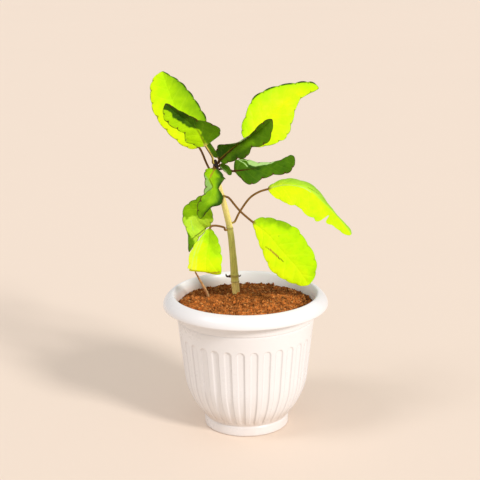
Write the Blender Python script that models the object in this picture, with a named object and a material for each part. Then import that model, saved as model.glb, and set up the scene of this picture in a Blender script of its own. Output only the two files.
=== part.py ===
"""Potted kalanchoe: a white fluted planter, its soil, and a young plant with ten leaves.

The origin is the middle of the pot's foot, +Z is up and the plant's open side faces -Y.
Every size below is in millimetres, and add_object turns it into Blender's metres.
"""
import bpy
import bmesh
import numpy as np
from collections import namedtuple

MM = 0.001
GAP = 0.3            # clearance between pieces that touch

# Pot
FLUTES = 32
FLUTE_PHASE = -4.6   # degrees from the front to the middle of the nearest channel
FLUTE_HALF_WIDTH = 3.4   # degrees
FLUTE_DEPTH = 1.1
FLUTE_FOOT = 10.5    # heights between which the channels run
FLUTE_HEAD = 88.4
FOOT_RADIUS = 38.6
POT_WALL = 2.3
FLOOR_TOP = 3.2
DRAIN_HOLES = 6
DRAIN_HOLE_RADIUS = 2.5
DRAIN_CIRCLE = 22.0
PAD_RADIUS = 7.5     # flat middle of the underside, level with the foot
UNDERSIDE = 1.2      # height of the underside between pad and foot

# Soil
SOIL_COLUMNS = 48
SOIL_EDGE = 114.2    # height at the wall
MOUND_HEIGHT = 6.0
MOUND_X, MOUND_Y = 3.0, 8.0
MOUND_WIDTH, MOUND_FRONT, MOUND_BACK = 34.0, 38.0, 12.0

# Stem: middle of the stem at even steps of height, from the soil to the crown
STEM_FOOT, STEM_LOW, STEM_TOP = 85.0, 115.0, 247.0
STEM_LINE = ((-8.4, 15.3), (-9.8, 14.0), (-11.2, 12.2), (-13.3, 10.1), (-17.6, 7.2), (-23.0, 2.8), (-25.6, -0.4))
STEM_HEIGHTS = (85.0, 137.0, 161.0, 199.0, 225.0, 243.0, 248.0)
STEM_RADII = (3.5, 3.6, 3.05, 2.8, 2.6, 2.4, 1.5)
STEM_NODES = (137.0, 183.0, 214.0, 236.0)   # heights of the leaf scars
NODE_SWELL = 0.45
STEM_SIDES = 10

# Leaves
PETIOLE_RADIUS = 0.95
BLADE_HALF_THICKNESS = 0.5
KEEL_DEPTH = 0.8
LEAD_SHARE = 0.5     # how much of the way to its first point a petiole bends round from the stem
NOTCH_DEPTH = 1.1
BLADE_TRIM = 0.008   # share of the blade left off at each end, where its width is nil
LEAF_COLUMNS = np.array((-1.0, -0.5, 0.0, 0.5, 1.0))
RINGS_PER_TOOTH = 3

# A half blade: its width and its angles in degrees at even steps from base to tip.
# The fold is where it leaves the midrib, up towards the face, and the curl is what it turns further.
Half = namedtuple("Half", "width fold curl")
# A leaf: the height of its seat on the stem, the points that the petiole and the midrib pass
# through, the directions that its face looks in, and the two halves seen from that face, tip up.
Leaf = namedtuple("Leaf", "seat petiole midrib face left right teeth colour")

LIME = (0.48, 0.78, 0.02)
YELLOW = (0.66, 0.82, 0.02)
GREEN = (0.20, 0.42, 0.02)
DARK = (0.07, 0.17, 0.01)

LEAVES = {
    "leaf_top_left_back": Leaf(
        235.5, ((-34, 9, 244), (-37, 12, 251)),
        ((-40, 13.5, 256.5), (-51, 24, 272), (-61, 33, 289), (-68, 41, 305), (-73, 47, 320)),
        ((0.1, -1, 0.1), (0, -1, 0.15)),
        Half((11, 15, 19, 20, 17, 15), (18, 12), (-12, -12)),
        Half((16, 20, 20, 18, 13, 4), (18, 12), (-12, -12)), 8, LIME),
    "leaf_top_left_front": Leaf(
        245.5, ((-27.8, -4.2, 250.8), (-31.2, -6, 257.6)),
        ((-33.6, -7.4, 262), (-40, -16, 277), (-48, -24, 287), (-58, -31, 296), (-66, -36, 304)),
        ((0.1, -1, 0.4), (0.1, -1, 0.5), (0.1, -1, 0.5)),
        Half((9, 15, 11, 12, 12, 9), (-10, -10), (-10, -10)),
        Half((24, 18, 8, 8, 4, 3), (0, 30, 60, 30), (10, 20, 20, 0)), 7, DARK),
    "leaf_top_right_back": Leaf(
        241.0, ((-16, 6, 250), (-7, 9, 256)),
        ((3, 12, 260), (16, 20, 276), (29, 28, 288), (46, 36, 298), (68, 42, 304)),
        ((0, -1, 0.25), (0, -1, 0.25)),
        Half((15, 17, 20, 15, 11, 12), (12, 10), (-10, -8)),
        Half((14, 24, 24, 16, 5, 2), (12, 10), (-10, -8)), 8, YELLOW),
    "leaf_top_right_front": Leaf(
        245.0, ((-21.8, -2.8, 246.8),),
        ((-21.4, -6.6, 249), (-9, -16, 262), (1, -24, 271), (12, -31, 278.5), (24, -37, 290)),
        ((-0.2, -0.85, 0.5), (-0.2, -0.85, 0.5)),
        Half((11, 12, 5, 4, 6, 5), (10, 60, 75, 40), (10, 20, 10, 0)),
        Half((9, 11, 15, 11, 14, 8), (5, 5), (-20, -20)), 7, DARK),
    "leaf_middle_right": Leaf(
        238.5, ((-18, 3, 239.5), (-12.5, 5.5, 237.2)),
        ((-9, 7, 236), (5, 9, 237), (19, 11, 239), (33, 12, 242), (45, 12, 247)),
        ((0, -0.5, 0.85), (0, -0.5, 0.85)),
        Half((18, 12, 7, 4, 4, 7), (60, 30, 30), (-60, -40, -30)),
        Half((2, 15, 11.5, 10, 12, 10), (-20, -20), (-15, -15)), 7, DARK),
    "leaf_arched_right": Leaf(
        187.0, ((-8.3, 9.9, 190), (-4.4, 9.1, 198), (4, 9, 210), (12, 8, 216)),
        ((21, 8, 219), (37, 10, 222), (54, 10, 218), (68, 8, 207), (82, 4, 194), (95, 0, 178)),
        ((0, -0.45, 0.9), (0.3, -0.55, 0.7), (0.6, -0.6, 0.5)),
        Half((7, 11, 15, 12, 3.5, 10), (10, 0, -10, 0), (-30, -30, -20, -10)),
        Half((16, 20, 19, 21, 12, 9), (-10, -10, 0, 0), (-15, -15, -10, -10)), 8, LIME),
    "leaf_low_right": Leaf(
        214.5, ((-13, -3, 213), (-4, -8, 203)),
        ((7, -12, 194), (21, -20, 184), (32, -27, 172), (45, -32, 158), (56, -33, 142)),
        ((0, -1, 0.35), (-0.1, -1, 0.1)),
        Half((12, 16, 23, 22, 19, 13), (10, 8), (-14, -14)),
        Half((3, 11, 15, 19, 16, 11), (10, 8), (-14, -14)), 8, LIME),
    "leaf_low_left": Leaf(
        182.0, ((-19, 6, 184.6), (-27, -3, 188.6)),
        ((-31, -6, 187), (-32, -14, 177), (-34, -22, 167), (-35, -25, 153), (-37, -16, 153), (-37, -10, 161)),
        ((0, -1, 0.3), (0, -1, 0.15), (0, -1, 0.1), (0, -1, -0.3), (0, 0.3, -1), (0, 1, -0.1)),
        Half((4, 10, 14, 14, 14, 10), (8, 4), (-14, -10)),
        Half((4, 10, 15, 16, 12, 8), (8, 4), (-14, -10)), 8, YELLOW),
    "leaf_side_left": Leaf(
        213.0, ((-25, 9, 212),),
        ((-32, 12, 209), (-39, 18, 200), (-47, 21, 188), (-49, 20, 176), (-51, 15, 159)),
        ((0.1, -0.8, 0.6), (0.1, -1, 0.1)),
        Half((9, 15, 17, 16, 9, 2), (8, 8), (-10, -10)),
        Half((10, 10, 13, 8, 3, 2), (8, 8), (-10, -10)), 8, GREEN),
    "leaf_hanging_front": Leaf(
        241.5, ((-26.8, -5.2, 242.3),),
        ((-27, -9, 242), (-28.6, -15, 236), (-27.8, -20, 228), (-29, -24, 220), (-33, -27, 212), (-39, -25, 201)),
        ((0, -0.9, 0.5), (0.2, -1, 0.2), (0.2, -1, 0.2), (0, -1, 0.1)),
        Half((13, 14, 7.5, 12, 6, 4), (0, 0), (-20, -20)),
        Half((11, 7, 7, 8, 9, 7), (-20, 10), (10, 10)), 7, GREEN),
    "young_leaf_upper": Leaf(
        244.0, ((-22.3, 4.0, 246.6),),
        ((-23.2, 3.5, 249.5), (-30.2, 2.5, 258), (-33, 2, 266)),
        ((0.3, -1, 0.2), (0.1, -1, 0.3)),
        Half((2.8, 3.1, 2.4), (10, 10), (0, 0)),
        Half((2.8, 3.1, 2.4), (10, 10), (0, 0)), 3, GREEN),
    "young_leaf_lower": Leaf(
        242.0, ((-21.2, -0.8, 242.6),),
        ((-20.9, -2.6, 243.8), (-15.7, -4, 240.5), (-11.6, -4, 235)),
        ((0, -1, 0.3), (0.1, -1, 0.3)),
        Half((2.8, 3.3, 3.4), (10, 10), (0, 0)),
        Half((2.8, 3.3, 3.4), (10, 10), (0, 0)), 3, GREEN),
}

# Dry pieces
TWIG_LINE = ((-34.5, 22, 108), (-35, 21, 116), (-38, 13, 126), (-42, 4, 137), (-45, -4, 146))
TWIG_RADII = (1.3, 1.4, 1.2, 0.9, 0.7)
# A stub's line is measured out, forward and up from the side of the stem
LEFT_STUB = ((0, 0, 0), (1.6, 0, -0.2), (3.4, 0.6, 0.4), (4.2, 0.6, 2.4))
RIGHT_STUB = ((0, 0, 0), (1.0, 0, 0.1), (1.8, 0.5, 1.4))
STUB_HEIGHT = 136.0
STUB_RADII = (0.9, 0.7, 0.6, 0.4)
TUBE_SIDES = 8


def through(points, share):
    """Smooth curve (Catmull-Rom) through evenly spaced points, read at shares 0 to 1 of its length."""
    points = np.asarray(points, float).reshape(len(points), -1)
    last = len(points) - 1
    place = np.clip(share, 0, 1) * last
    index = np.minimum(place.astype(int), last - 1)
    f = (place - index)[:, None]
    held = np.concatenate((2 * points[:1] - points[1:2], points, 2 * points[-1:] - points[-2:-1]))
    a, b, c, d = (held[index + step] for step in range(4))
    return b + 0.5 * f * (c - a + f * (2 * a - 5 * b + 4 * c - d + f * (3 * (b - c) + d - a)))


def unit(vectors):
    return vectors / np.linalg.norm(vectors, axis=-1, keepdims=True)


def round_ring(radius, height, angles):
    """Points on a level circle round the Z axis, at angles in degrees from the front."""
    turn = np.radians(angles)
    radius = np.broadcast_to(radius, turn.shape)
    return np.stack((radius * np.sin(turn), -radius * np.cos(turn), np.full(turn.shape, float(height))), 1)


def loft(name, rings, alike=False):
    """Closed mesh over a row of rings, each with one, as many, or half or twice as many points.

    Neighbouring rings are joined by triangles. With alike set, the second half of each ring runs
    back under the first, and its triangles are split the same way as those above them.
    """
    mesh = bmesh.new()
    rows = [[mesh.verts.new(point * MM) for point in ring] for ring in rings]
    for low, high in zip(rows[:-1], rows[1:]):
        if len(low) > len(high):
            low, high = high, low
        count = len(low)
        if count == 1:
            for j in range(len(high)):
                mesh.faces.new((low[0], high[j], high[j - 1]))
        elif len(high) == 2 * count:
            for j in range(count):
                k = 2 * j
                after = (k + 2) % (2 * count)
                mesh.faces.new((low[j], high[k], high[k + 1]))
                mesh.faces.new((low[j], high[k + 1], low[(j + 1) % count]))
                mesh.faces.new((low[(j + 1) % count], high[k + 1], high[after]))
        else:
            for j in range(count):
                k = (j + 1) % count
                if alike and j >= count // 2:
                    mesh.faces.new((low[j], high[j], low[k]))
                    mesh.faces.new((low[k], high[j], high[k]))
                else:
                    mesh.faces.new((low[j], high[j], high[k]))
                    mesh.faces.new((low[j], high[k], low[k]))
    bmesh.ops.recalc_face_normals(mesh, faces=mesh.faces)
    data = bpy.data.meshes.new(name)
    mesh.to_mesh(data)
    mesh.free()
    return data


def add_object(name, data, colour, roughness=0.6):
    """Object with a Principled material of its own."""
    material = bpy.data.materials.new(name)
    material.use_nodes = True
    shader = material.node_tree.nodes["Principled BSDF"]
    shader.inputs["Base Color"].default_value = (*colour, 1.0)
    shader.inputs["Roughness"].default_value = roughness
    data.materials.append(material)
    data.shade_smooth()
    data.set_sharp_from_angle(angle=np.radians(40))
    piece = bpy.data.objects.new(name, data)
    bpy.context.scene.collection.objects.link(piece)
    return piece


def cut(piece, name, rings):
    """Cuts a closed loft out of a piece."""
    cutter = bpy.data.objects.new(name, loft(name, rings))
    bpy.context.scene.collection.objects.link(cutter)
    cutter.hide_render = True
    cutter.display_type = "WIRE"
    boolean = piece.modifiers.new(name, "BOOLEAN")
    boolean.operation = "DIFFERENCE"
    boolean.solver = "EXACT"
    boolean.object = cutter


def tube_rings(line, radii, sides, rows, stretch=0.0, grow=0.0):
    """Rings and end points of a round tube along a line, its start moved out by stretch."""
    share = np.linspace(0, 1, rows)
    middle = through(line, share)
    along = unit(np.gradient(middle, axis=0))
    middle[0] -= along[0] * stretch
    radius = through([[r] for r in radii], share)[:, 0] + grow
    across = unit(np.cross(along, (0.0, 1.0, 0.0)))
    up = np.cross(across, along)
    turn = np.arange(sides) * 2 * np.pi / sides
    rings = [middle[i] + radius[i] * (np.cos(turn)[:, None] * across[i] + np.sin(turn)[:, None] * up[i])
             for i in range(rows)]
    return [middle[:1], *rings, middle[-1:]]


def body_radius(height):
    """Outside of the pot's body: a straight taper, drawn in below 50 mm towards the foot."""
    bowl = 13.2 * np.maximum(0.0, (50.0 - height) / 39.0) ** 2.1
    return 58.3 + 0.1104 * (height - 65.0) - bowl


def plain_angles():
    """Two columns to a flute: one on a channel's edge and one in the channel."""
    middles = FLUTE_PHASE + np.arange(FLUTES) * 360.0 / FLUTES
    steps = np.array((-1.0, 0.65)) * FLUTE_HALF_WIDTH
    return (middles[:, None] + steps).ravel()


def fluted_ring(height, depth, width):
    """Four columns to a flute: its two edges, and two in the channel between them."""
    middles = FLUTE_PHASE + np.arange(FLUTES) * 360.0 / FLUTES
    steps = np.array((-1.0, -0.35, 0.35, 1.0)) * FLUTE_HALF_WIDTH * width
    radius = body_radius(height) - np.tile((0.0, depth, depth, 0.0), FLUTES)
    return round_ring(radius, height, (middles[:, None] + steps).ravel())


def build_pot():
    """Outside from the foot up over the rolled rim, then the inside down to the floor."""
    angles = plain_angles()
    coarse = angles[::2]
    pad = [(PAD_RADIUS, 0.0), (PAD_RADIUS + 0.6, UNDERSIDE), (DRAIN_CIRCLE + 5.0, UNDERSIDE)]
    under = [round_ring(r, z, coarse) for r, z in pad]
    foot = [(FOOT_RADIUS - 3.4, UNDERSIDE), (FOOT_RADIUS - 2.7, 0.0), (FOOT_RADIUS - 0.5, 0.0)]
    foot += [(FOOT_RADIUS, 0.5), (FOOT_RADIUS, 8.4)]
    foot.append((body_radius(FLUTE_FOOT) - 0.7, FLUTE_FOOT - 0.7))
    foot_rings = [round_ring(r, z, angles) for r, z in foot]
    channel_rows = ((FLUTE_FOOT, 0.0, 1.0), (13.0, 0.7, 1.0), (18.0, 1.0, 1.0), (25.0, 1.0, 1.0), (34.0, 1.0, 1.0),
                    (50.0, 1.0, 1.0), (84.5, 1.0, 1.0), (87.0, 0.9, 0.8), (FLUTE_HEAD, 0.0, 0.45))
    channels = [fluted_ring(z, FLUTE_DEPTH * depth, width) for z, depth, width in channel_rows]
    band = [(body_radius(z), z) for z in (FLUTE_HEAD + 1.6, 103.4)]
    band += [(body_radius(104.0) + 0.4, 104.0), (body_radius(113.5) + 0.3, 113.5)]
    rim = [(64.6, 119.4), (70.2, 119.6), (73.2, 114.2), (74.8, 114.2), (74.6, 117.2), (72.2, 121.3),
           (68.6, 124.5), (66.1, 125.2), (64.3, 123.8), (62.0, 117.0)]
    inside = [(r, z) for z, r in inner_wall()[::-1]]
    upper_rings = [round_ring(r, z, angles) for r, z in band + rim + inside]
    bottom = np.zeros((1, 3))
    top = np.array(((0.0, 0.0, FLOOR_TOP),))
    data = loft("pot", [bottom, *under, *foot_rings, *channels, *upper_rings, top])
    pot = add_object("pot", data, (0.92, 0.91, 0.89), 0.35)
    for i in range(DRAIN_HOLES):
        turn = np.radians(i * 360.0 / DRAIN_HOLES + 30.0)
        x, y = DRAIN_CIRCLE * np.sin(turn), DRAIN_CIRCLE * np.cos(turn)
        line = ((x, y, -2.0), (x, y, 2.0), (x, y, FLOOR_TOP + 2.0))
        cut(pot, f"drain_hole_{i + 1}", tube_rings(line, (DRAIN_HOLE_RADIUS,) * 3, 10, 2))


def inner_wall():
    """Height and radius of the pot's inside, from the floor up to the soil's edge and past it."""
    heights = (FLOOR_TOP, 12.0, 17.0, 25.0, 34.0, 48.0, 112.5)
    radii = [36.0, 36.6] + [body_radius(z) - POT_WALL for z in heights[2:]]
    return list(zip(heights, radii))


def soil_height(x, y):
    """Top of the soil: level at the wall, with a mound at the front and low lumps all over."""
    depth = np.where(y < MOUND_Y, MOUND_FRONT, MOUND_BACK)
    mound = np.exp(-((x - MOUND_X) / MOUND_WIDTH) ** 2 - ((y - MOUND_Y) / depth) ** 2)
    lumps = np.sin(0.31 * x + 0.9) * np.sin(0.27 * y + 0.4) + 0.6 * np.sin(0.55 * x - 0.43 * y)
    return SOIL_EDGE + MOUND_HEIGHT * mound + 0.55 * lumps


def build_soil():
    """Filling of the pot, with plain holes for the stem and the twig."""
    angles = np.arange(SOIL_COLUMNS) * 360.0 / SOIL_COLUMNS
    sides = [(r - GAP, z) for z, r in inner_wall()]
    sides[0] = (sides[0][0], FLOOR_TOP + GAP)
    rings = [round_ring(r, z, angles) for r, z in sides]
    edge = body_radius(SOIL_EDGE) - POT_WALL - GAP
    for share in (1.0, 0.88, 0.75, 0.62, 0.48, 0.34, 0.2):
        ring = round_ring(edge * share, 0.0, angles)
        ring[:, 2] = soil_height(ring[:, 0], ring[:, 1])
        rings.append(ring)
    middle = np.array(((0.0, 0.0, float(soil_height(0.0, 0.0))),))
    bottom = np.array(((0.0, 0.0, FLOOR_TOP + GAP),))
    soil = add_object("soil", loft("soil", [bottom, *rings, middle]), (0.33, 0.14, 0.05), 0.95)
    x, y = STEM_LINE[0]
    hole = ((x, y, STEM_FOOT - GAP), (x, y, 110.0), (x, y, 135.0))
    cut(soil, "stem_hole", tube_rings(hole, (STEM_RADII[1] + 2 * GAP,) * 3, 12, 2))
    cut(soil, "twig_hole", tube_rings(TWIG_LINE[:3], TWIG_RADII[:3], TUBE_SIDES, 5, GAP, 2 * GAP))


def stem_middle(height):
    share = np.atleast_1d((np.asarray(height, float) - STEM_LOW) / (STEM_TOP - STEM_LOW))
    x, y = through(STEM_LINE, share).T
    return np.stack((x, y, np.broadcast_to(height, x.shape)), 1)


def stem_radius(height):
    height = np.atleast_1d(np.asarray(height, float))
    swell = sum(np.exp(-((height - node) / 1.3) ** 2) for node in STEM_NODES)
    return np.interp(height, STEM_HEIGHTS, STEM_RADII) + NODE_SWELL * swell


def build_stem():
    """Round stem with a swollen ring at each pair of leaves."""
    rows = [STEM_FOOT, 112.0, 120.0, 128.0, 149.0, 160.0, 172.0, 193.0, 203.0, 225.0, 241.0, 245.0, STEM_TOP, 248.2]
    for node in STEM_NODES:
        rows += [node - 2.0, node, node + 2.0]
    rows = np.array(sorted(rows))
    turn = np.arange(STEM_SIDES) * 2 * np.pi / STEM_SIDES
    circle = np.stack((np.cos(turn), np.sin(turn), np.zeros(STEM_SIDES)), 1)
    middles = stem_middle(rows)
    rings = [middle + radius * circle for middle, radius in zip(middles, stem_radius(rows))]
    add_object("stem", loft("stem", [middles[:1], *rings, middles[-1:]]), (0.33, 0.34, 0.10), 0.55)


def leaf_path(leaf):
    """Way out of the stem's side, and the points of petiole and midrib, which bend out of that way."""
    middle = stem_middle(leaf.seat)[0]
    along = unit(stem_middle(leaf.seat + 1.0)[0] - stem_middle(leaf.seat - 1.0)[0])
    out = np.asarray(leaf.petiole[0], float) - middle
    out = unit(out - out.dot(along) * along)
    reach = stem_radius(leaf.seat)[0] + GAP
    start = middle + out * reach
    way = np.asarray(leaf.petiole[0], float) - start
    lead = start + 0.25 * way + 0.5 * LEAD_SHARE * np.linalg.norm(way) * out
    return out, [start, lead, *np.asarray(leaf.petiole, float), *np.asarray(leaf.midrib, float)]


def leaf_rings(leaf):
    """Closed rings along a leaf: an oval round the petiole, then a thin section across the blade.

    Each half of the blade is an arc across the midrib, of the half's width, fold and curl there.
    The width falls away to nothing at base and tip, and rounded teeth are cut in its edge.
    Down the petiole the section is carried on from the blade's base without twisting.
    """
    out, path = leaf_path(leaf)
    last = len(path) - 1
    base = last - len(leaf.midrib) + 1
    petiole = np.arange(0.0, base, 0.5 if len(leaf.petiole) > 1 else 1.0)
    step = np.linspace(0, 1, RINGS_PER_TOOTH * leaf.teeth + 1)
    blade = 0.5 * step + 0.25 * (1 - np.cos(np.pi * step))
    blade = BLADE_TRIM + (1 - 2 * BLADE_TRIM) * blade
    share = np.concatenate((petiole, base + blade * (last - base))) / last
    t = np.concatenate((np.zeros(len(petiole)), blade))
    in_blade = np.concatenate((np.zeros(len(petiole)), np.ones(len(blade))))
    notch = np.concatenate((np.zeros(len(petiole)), 1 - np.abs(np.sin(np.pi * leaf.teeth * step)) > 0.5))

    rib = through(path, share)
    along = unit(through(path, share + 0.002) - through(path, share - 0.002))
    along[0] = out
    face = through(leaf.face, t)
    face = unit(face - np.sum(face * along, 1, keepdims=True) * along)
    for i in range(len(petiole) - 1, -1, -1):
        face[i] = unit(face[i + 1] - face[i + 1].dot(along[i]) * along[i])
    side = np.cross(along, face)
    envelope = in_blade * np.sqrt(1 - np.abs(2 * t - 1) ** 5)
    thin = np.clip(in_blade * (0.4 + 12 * t), 0, 1)
    radius = PETIOLE_RADIUS * (1 - 0.75 * t)

    top, bottom = [], []
    for u in LEAF_COLUMNS:
        half = leaf.right if u >= 0 else leaf.left
        width = through(half.width, t)[:, 0] * envelope - NOTCH_DEPTH * notch * envelope
        width = np.maximum(width, radius)
        fold = np.radians(through(half.fold, t)[:, 0]) * thin
        curl = np.radians(through(half.curl, t)[:, 0]) * thin
        curl = np.where(np.abs(curl) < 0.001, 0.001, curl)
        angle = fold + curl * abs(u)
        aside = width / curl * (np.sin(angle) - np.sin(fold)) * np.sign(u)
        rise = width / curl * (np.cos(fold) - np.cos(angle))
        middle = rib + side * aside[:, None] + face * rise[:, None]
        normal = face * np.cos(angle)[:, None] - side * (np.sin(angle) * np.sign(u))[:, None]
        oval = radius * np.sqrt(1 - 0.88 * u * u)
        above = thin * BLADE_HALF_THICKNESS + (1 - thin) * oval
        below = above + (thin * KEEL_DEPTH * (1 - t) if u == 0 else 0.0)
        top.append(middle + normal * above[:, None])
        bottom.append(middle - normal * below[:, None])
    rings = np.stack(top + bottom[::-1], 1)
    return [rib[:1], *rings, rib[-1:]]


def build_stubs():
    """Dried remains of two lost leaves, at the lowest scar of the stem."""
    for name, line, side in (("dry_stub_left", LEFT_STUB, -1), ("dry_stub_right", RIGHT_STUB, 1)):
        seat = stem_middle(STUB_HEIGHT)[0]
        seat[0] += side * (stem_radius(STUB_HEIGHT)[0] + GAP)
        placed = seat + np.asarray(line, float) * (side, -1, 1)
        rings = tube_rings(placed, STUB_RADII[:len(line)], 6, 5)
        add_object(name, loft(name, rings), (0.10, 0.05, 0.02), 0.9)


def build_all():
    for old in list(bpy.data.objects):
        bpy.data.objects.remove(old)
    build_pot()
    build_soil()
    build_stem()
    for name, leaf in LEAVES.items():
        add_object(name, loft(name, leaf_rings(leaf), alike=True), leaf.colour, 0.45)
    add_object("dry_twig", loft("dry_twig", tube_rings(TWIG_LINE, TWIG_RADII, TUBE_SIDES, 9)), (0.52, 0.30, 0.13), 0.9)
    build_stubs()


build_all()
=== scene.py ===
"""Potted kalanchoe: a young succulent with ten toothed leaves in a white fluted pot of brown fibre.

Lengths in the numbers and formulas below are in millimetres. The plant's open side faces -Y, angles
round the pot are in degrees from there, and the origin is the middle of the pot's foot.
"""
import math
from collections import namedtuple
import bpy
import numpy as np
from bpy.props import BoolProperty, FloatProperty, FloatVectorProperty, IntProperty, PointerProperty
from bpy.types import Operator, Panel, PropertyGroup
from mathutils import Matrix, Vector


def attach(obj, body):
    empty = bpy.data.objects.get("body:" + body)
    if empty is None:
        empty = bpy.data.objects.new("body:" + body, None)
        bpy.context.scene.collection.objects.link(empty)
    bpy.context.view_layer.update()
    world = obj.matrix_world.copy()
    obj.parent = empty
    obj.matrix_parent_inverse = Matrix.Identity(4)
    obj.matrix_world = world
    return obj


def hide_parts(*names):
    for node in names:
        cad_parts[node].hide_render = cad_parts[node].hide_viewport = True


bl_info = {
    "name": "Potted Kalanchoe",
    "version": (1, 0, 0),
    "blender": (4, 5, 0),
    "location": "3D View > Sidebar > Kalanchoe",
    "description": "Builds a young potted kalanchoe: fluted pot, fibre soil, stem, leaves and dry pieces",
    "category": "Add Mesh",
}

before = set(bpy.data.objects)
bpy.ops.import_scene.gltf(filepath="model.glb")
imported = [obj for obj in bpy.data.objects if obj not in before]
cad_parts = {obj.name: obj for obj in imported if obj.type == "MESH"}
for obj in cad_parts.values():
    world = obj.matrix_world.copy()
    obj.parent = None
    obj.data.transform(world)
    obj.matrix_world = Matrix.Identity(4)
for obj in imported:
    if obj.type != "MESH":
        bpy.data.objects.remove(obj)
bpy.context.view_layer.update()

MM = 0.001

# Camera, fitted to the photograph: millimetres and radians
CAMERA_HEIGHT = 478.54
CAMERA_DISTANCE = 1101.24
CAMERA_PITCH = 0.2696
CAMERA_YAW = -0.0040
CAMERA_ROLL = -0.0106
CAMERA_LENS = 95.43

# Pot: its body tapers straight, and is drawn in towards the foot below the bowl's top
BODY_RADIUS, BODY_MIDDLE, BODY_TAPER = 58.3, 65.0, 0.1104
BOWL_TOP, BOWL_REACH, BOWL_DEPTH, BOWL_POWER = 50.0, 39.0, 13.2, 2.1
FLUTES = 32
FLUTE_PHASE = -4.6       # angle of the middle of the channel nearest to the front
FLUTE_HALF_WIDTH = 3.4
FLUTE_FOOT = 10.5        # heights between which the channels run
FLUTE_HEAD = 88.6
ARCH = 4.0               # height of the arch at a channel's head
POT_WALL = 2.3
FLOOR_TOP = 3.2
UNDERSIDE = 1.2
DRAIN_HOLES = 6
DRAIN_HOLE_RADIUS = 2.5
DRAIN_CIRCLE = 22.0
DRAIN_PHASE = 30         # angle of the first hole
DRILL_HEIGHTS = (-2, 2, 5.2)

# Soil
SOIL_EDGE = 114.2
MOUND_HEIGHT = 6.0
MOUND_X, MOUND_Y = 3.0, 8.0
MOUND_WIDTH, MOUND_FRONT, MOUND_BACK = 34.0, 38.0, 12.0
SOIL_RELIEF = ((0.7, 5.0), (0.75, 2.3), (0.6, 1.1), (0.25, 0.6))     # height and size of its patches
SOIL_GAP, SOIL_SIDE_GAP = 0.15, 0.3      # to the pot's wall, at the top and below
CRUMB_REACH, FIBRE_REACH = 61.0, 58.0    # of the loose pieces from the pot's middle
CRUMB_SEED, FIBRE_SEED = 21, 22

# Stem
STEM_FOOT, STEM_LOW, STEM_TOP = 100.0, 115.0, 247.0
STEM_LINE = ((-8.4, 15.3), (-9.8, 14.0), (-11.2, 12.2), (-13.3, 10.1), (-17.6, 7.2), (-23.0, 2.8),
             (-25.6, -0.4))
STEM_HEIGHTS = (85.0, 137.0, 161.0, 199.0, 225.0, 243.0, 248.0)
STEM_RADII = (3.5, 3.6, 3.05, 2.8, 2.6, 2.4, 1.5)
STEM_NODES = (131.0, 137.0, 183.0, 214.0, 236.0)
NODE_SWELL = 0.45
STEM_END = 246.5
STEM_CAP = ((247.2, 1.0), (247.8, 0.75), (248.2, 0.35))   # heights and widths of its last rings
# Heights over which the stem turns to straw, downwards and upwards, and to the crown's purple, and
# the heights of its pale collars. The upper collar is a painted highlight, on the stem's right side.
LOW_STRAW, HIGH_STRAW, CROWN = (136, 127), (183, 188), (234, 241)
HIGH_COLLAR, LOW_COLLAR = 185.5, 130.0

# Leaves
PETIOLE_RADIUS = 0.95
BLADE_HALF_THICKNESS = 0.5
KEEL_DEPTH = 0.8
GROOVE_DEPTH = 0.22      # over the midrib
VEIN_RELIEF = 0.22       # between a side vein and the swelling beside it
MARGIN_WAVE = 0.5
NOTCH_DEPTH = 1.1
LEAD_SHARE = 0.5         # how strongly a petiole sets off at right angles to the stem
SEAT_GAP = 0.3           # between stem and petiole in the solids, where the two don't touch
SEAT_DEPTH = 0.3         # by which a petiole starts inside the stem here
BLADE_TRIM = 0.008       # share of the blade at base and at tip that has rows of its own
END_ROWS = (0.0004, 0.0015, 0.0035, 0.0065)
STRAIGHT = 0.001         # least curl of a half in radians, so that it always is an arc
CROWN_SEAT = 230         # height from which on a stalk starts in the crown's colour
BACK_BLOOM = 0.35        # weight of the bloom on the backs of the leaves
SOFT, CRISP = (1.5, 0.1), (1.15, 0.55)   # where a mark starts and is full, in shares of its reach
VEIN_SLANT = 1.3         # teeth by which a side vein runs on towards the tip before it meets the margin

# A half blade: its width and its angles in degrees at even steps from base to tip.
# The fold is where it leaves the midrib, up towards the face, and the curl is what it turns further.
Half = namedtuple("Half", "width fold curl")
# A leaf: the height of its seat on the stem, the points that the petiole and the midrib pass
# through, the directions that its face looks in, the two halves seen from that face, tip up, its
# teeth, and its look.
Leaf = namedtuple("Leaf", "seat petiole midrib face left right teeth look")
# A look: how ripe the leaf is, from 0 for dark green to 1 for yellow, how much riper it is on the
# right than on the left, at the tip than at the base and along the midrib than at the margin, and
# how brown its stalk, the base of its midrib and its margin are, from 0 to 1. At the blade, a stalk
# is pale at 0, brown at a half and as dark as the midrib at 1.
Look = namedtuple("Look", "ripe across along middle stalk rib margin")

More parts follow.
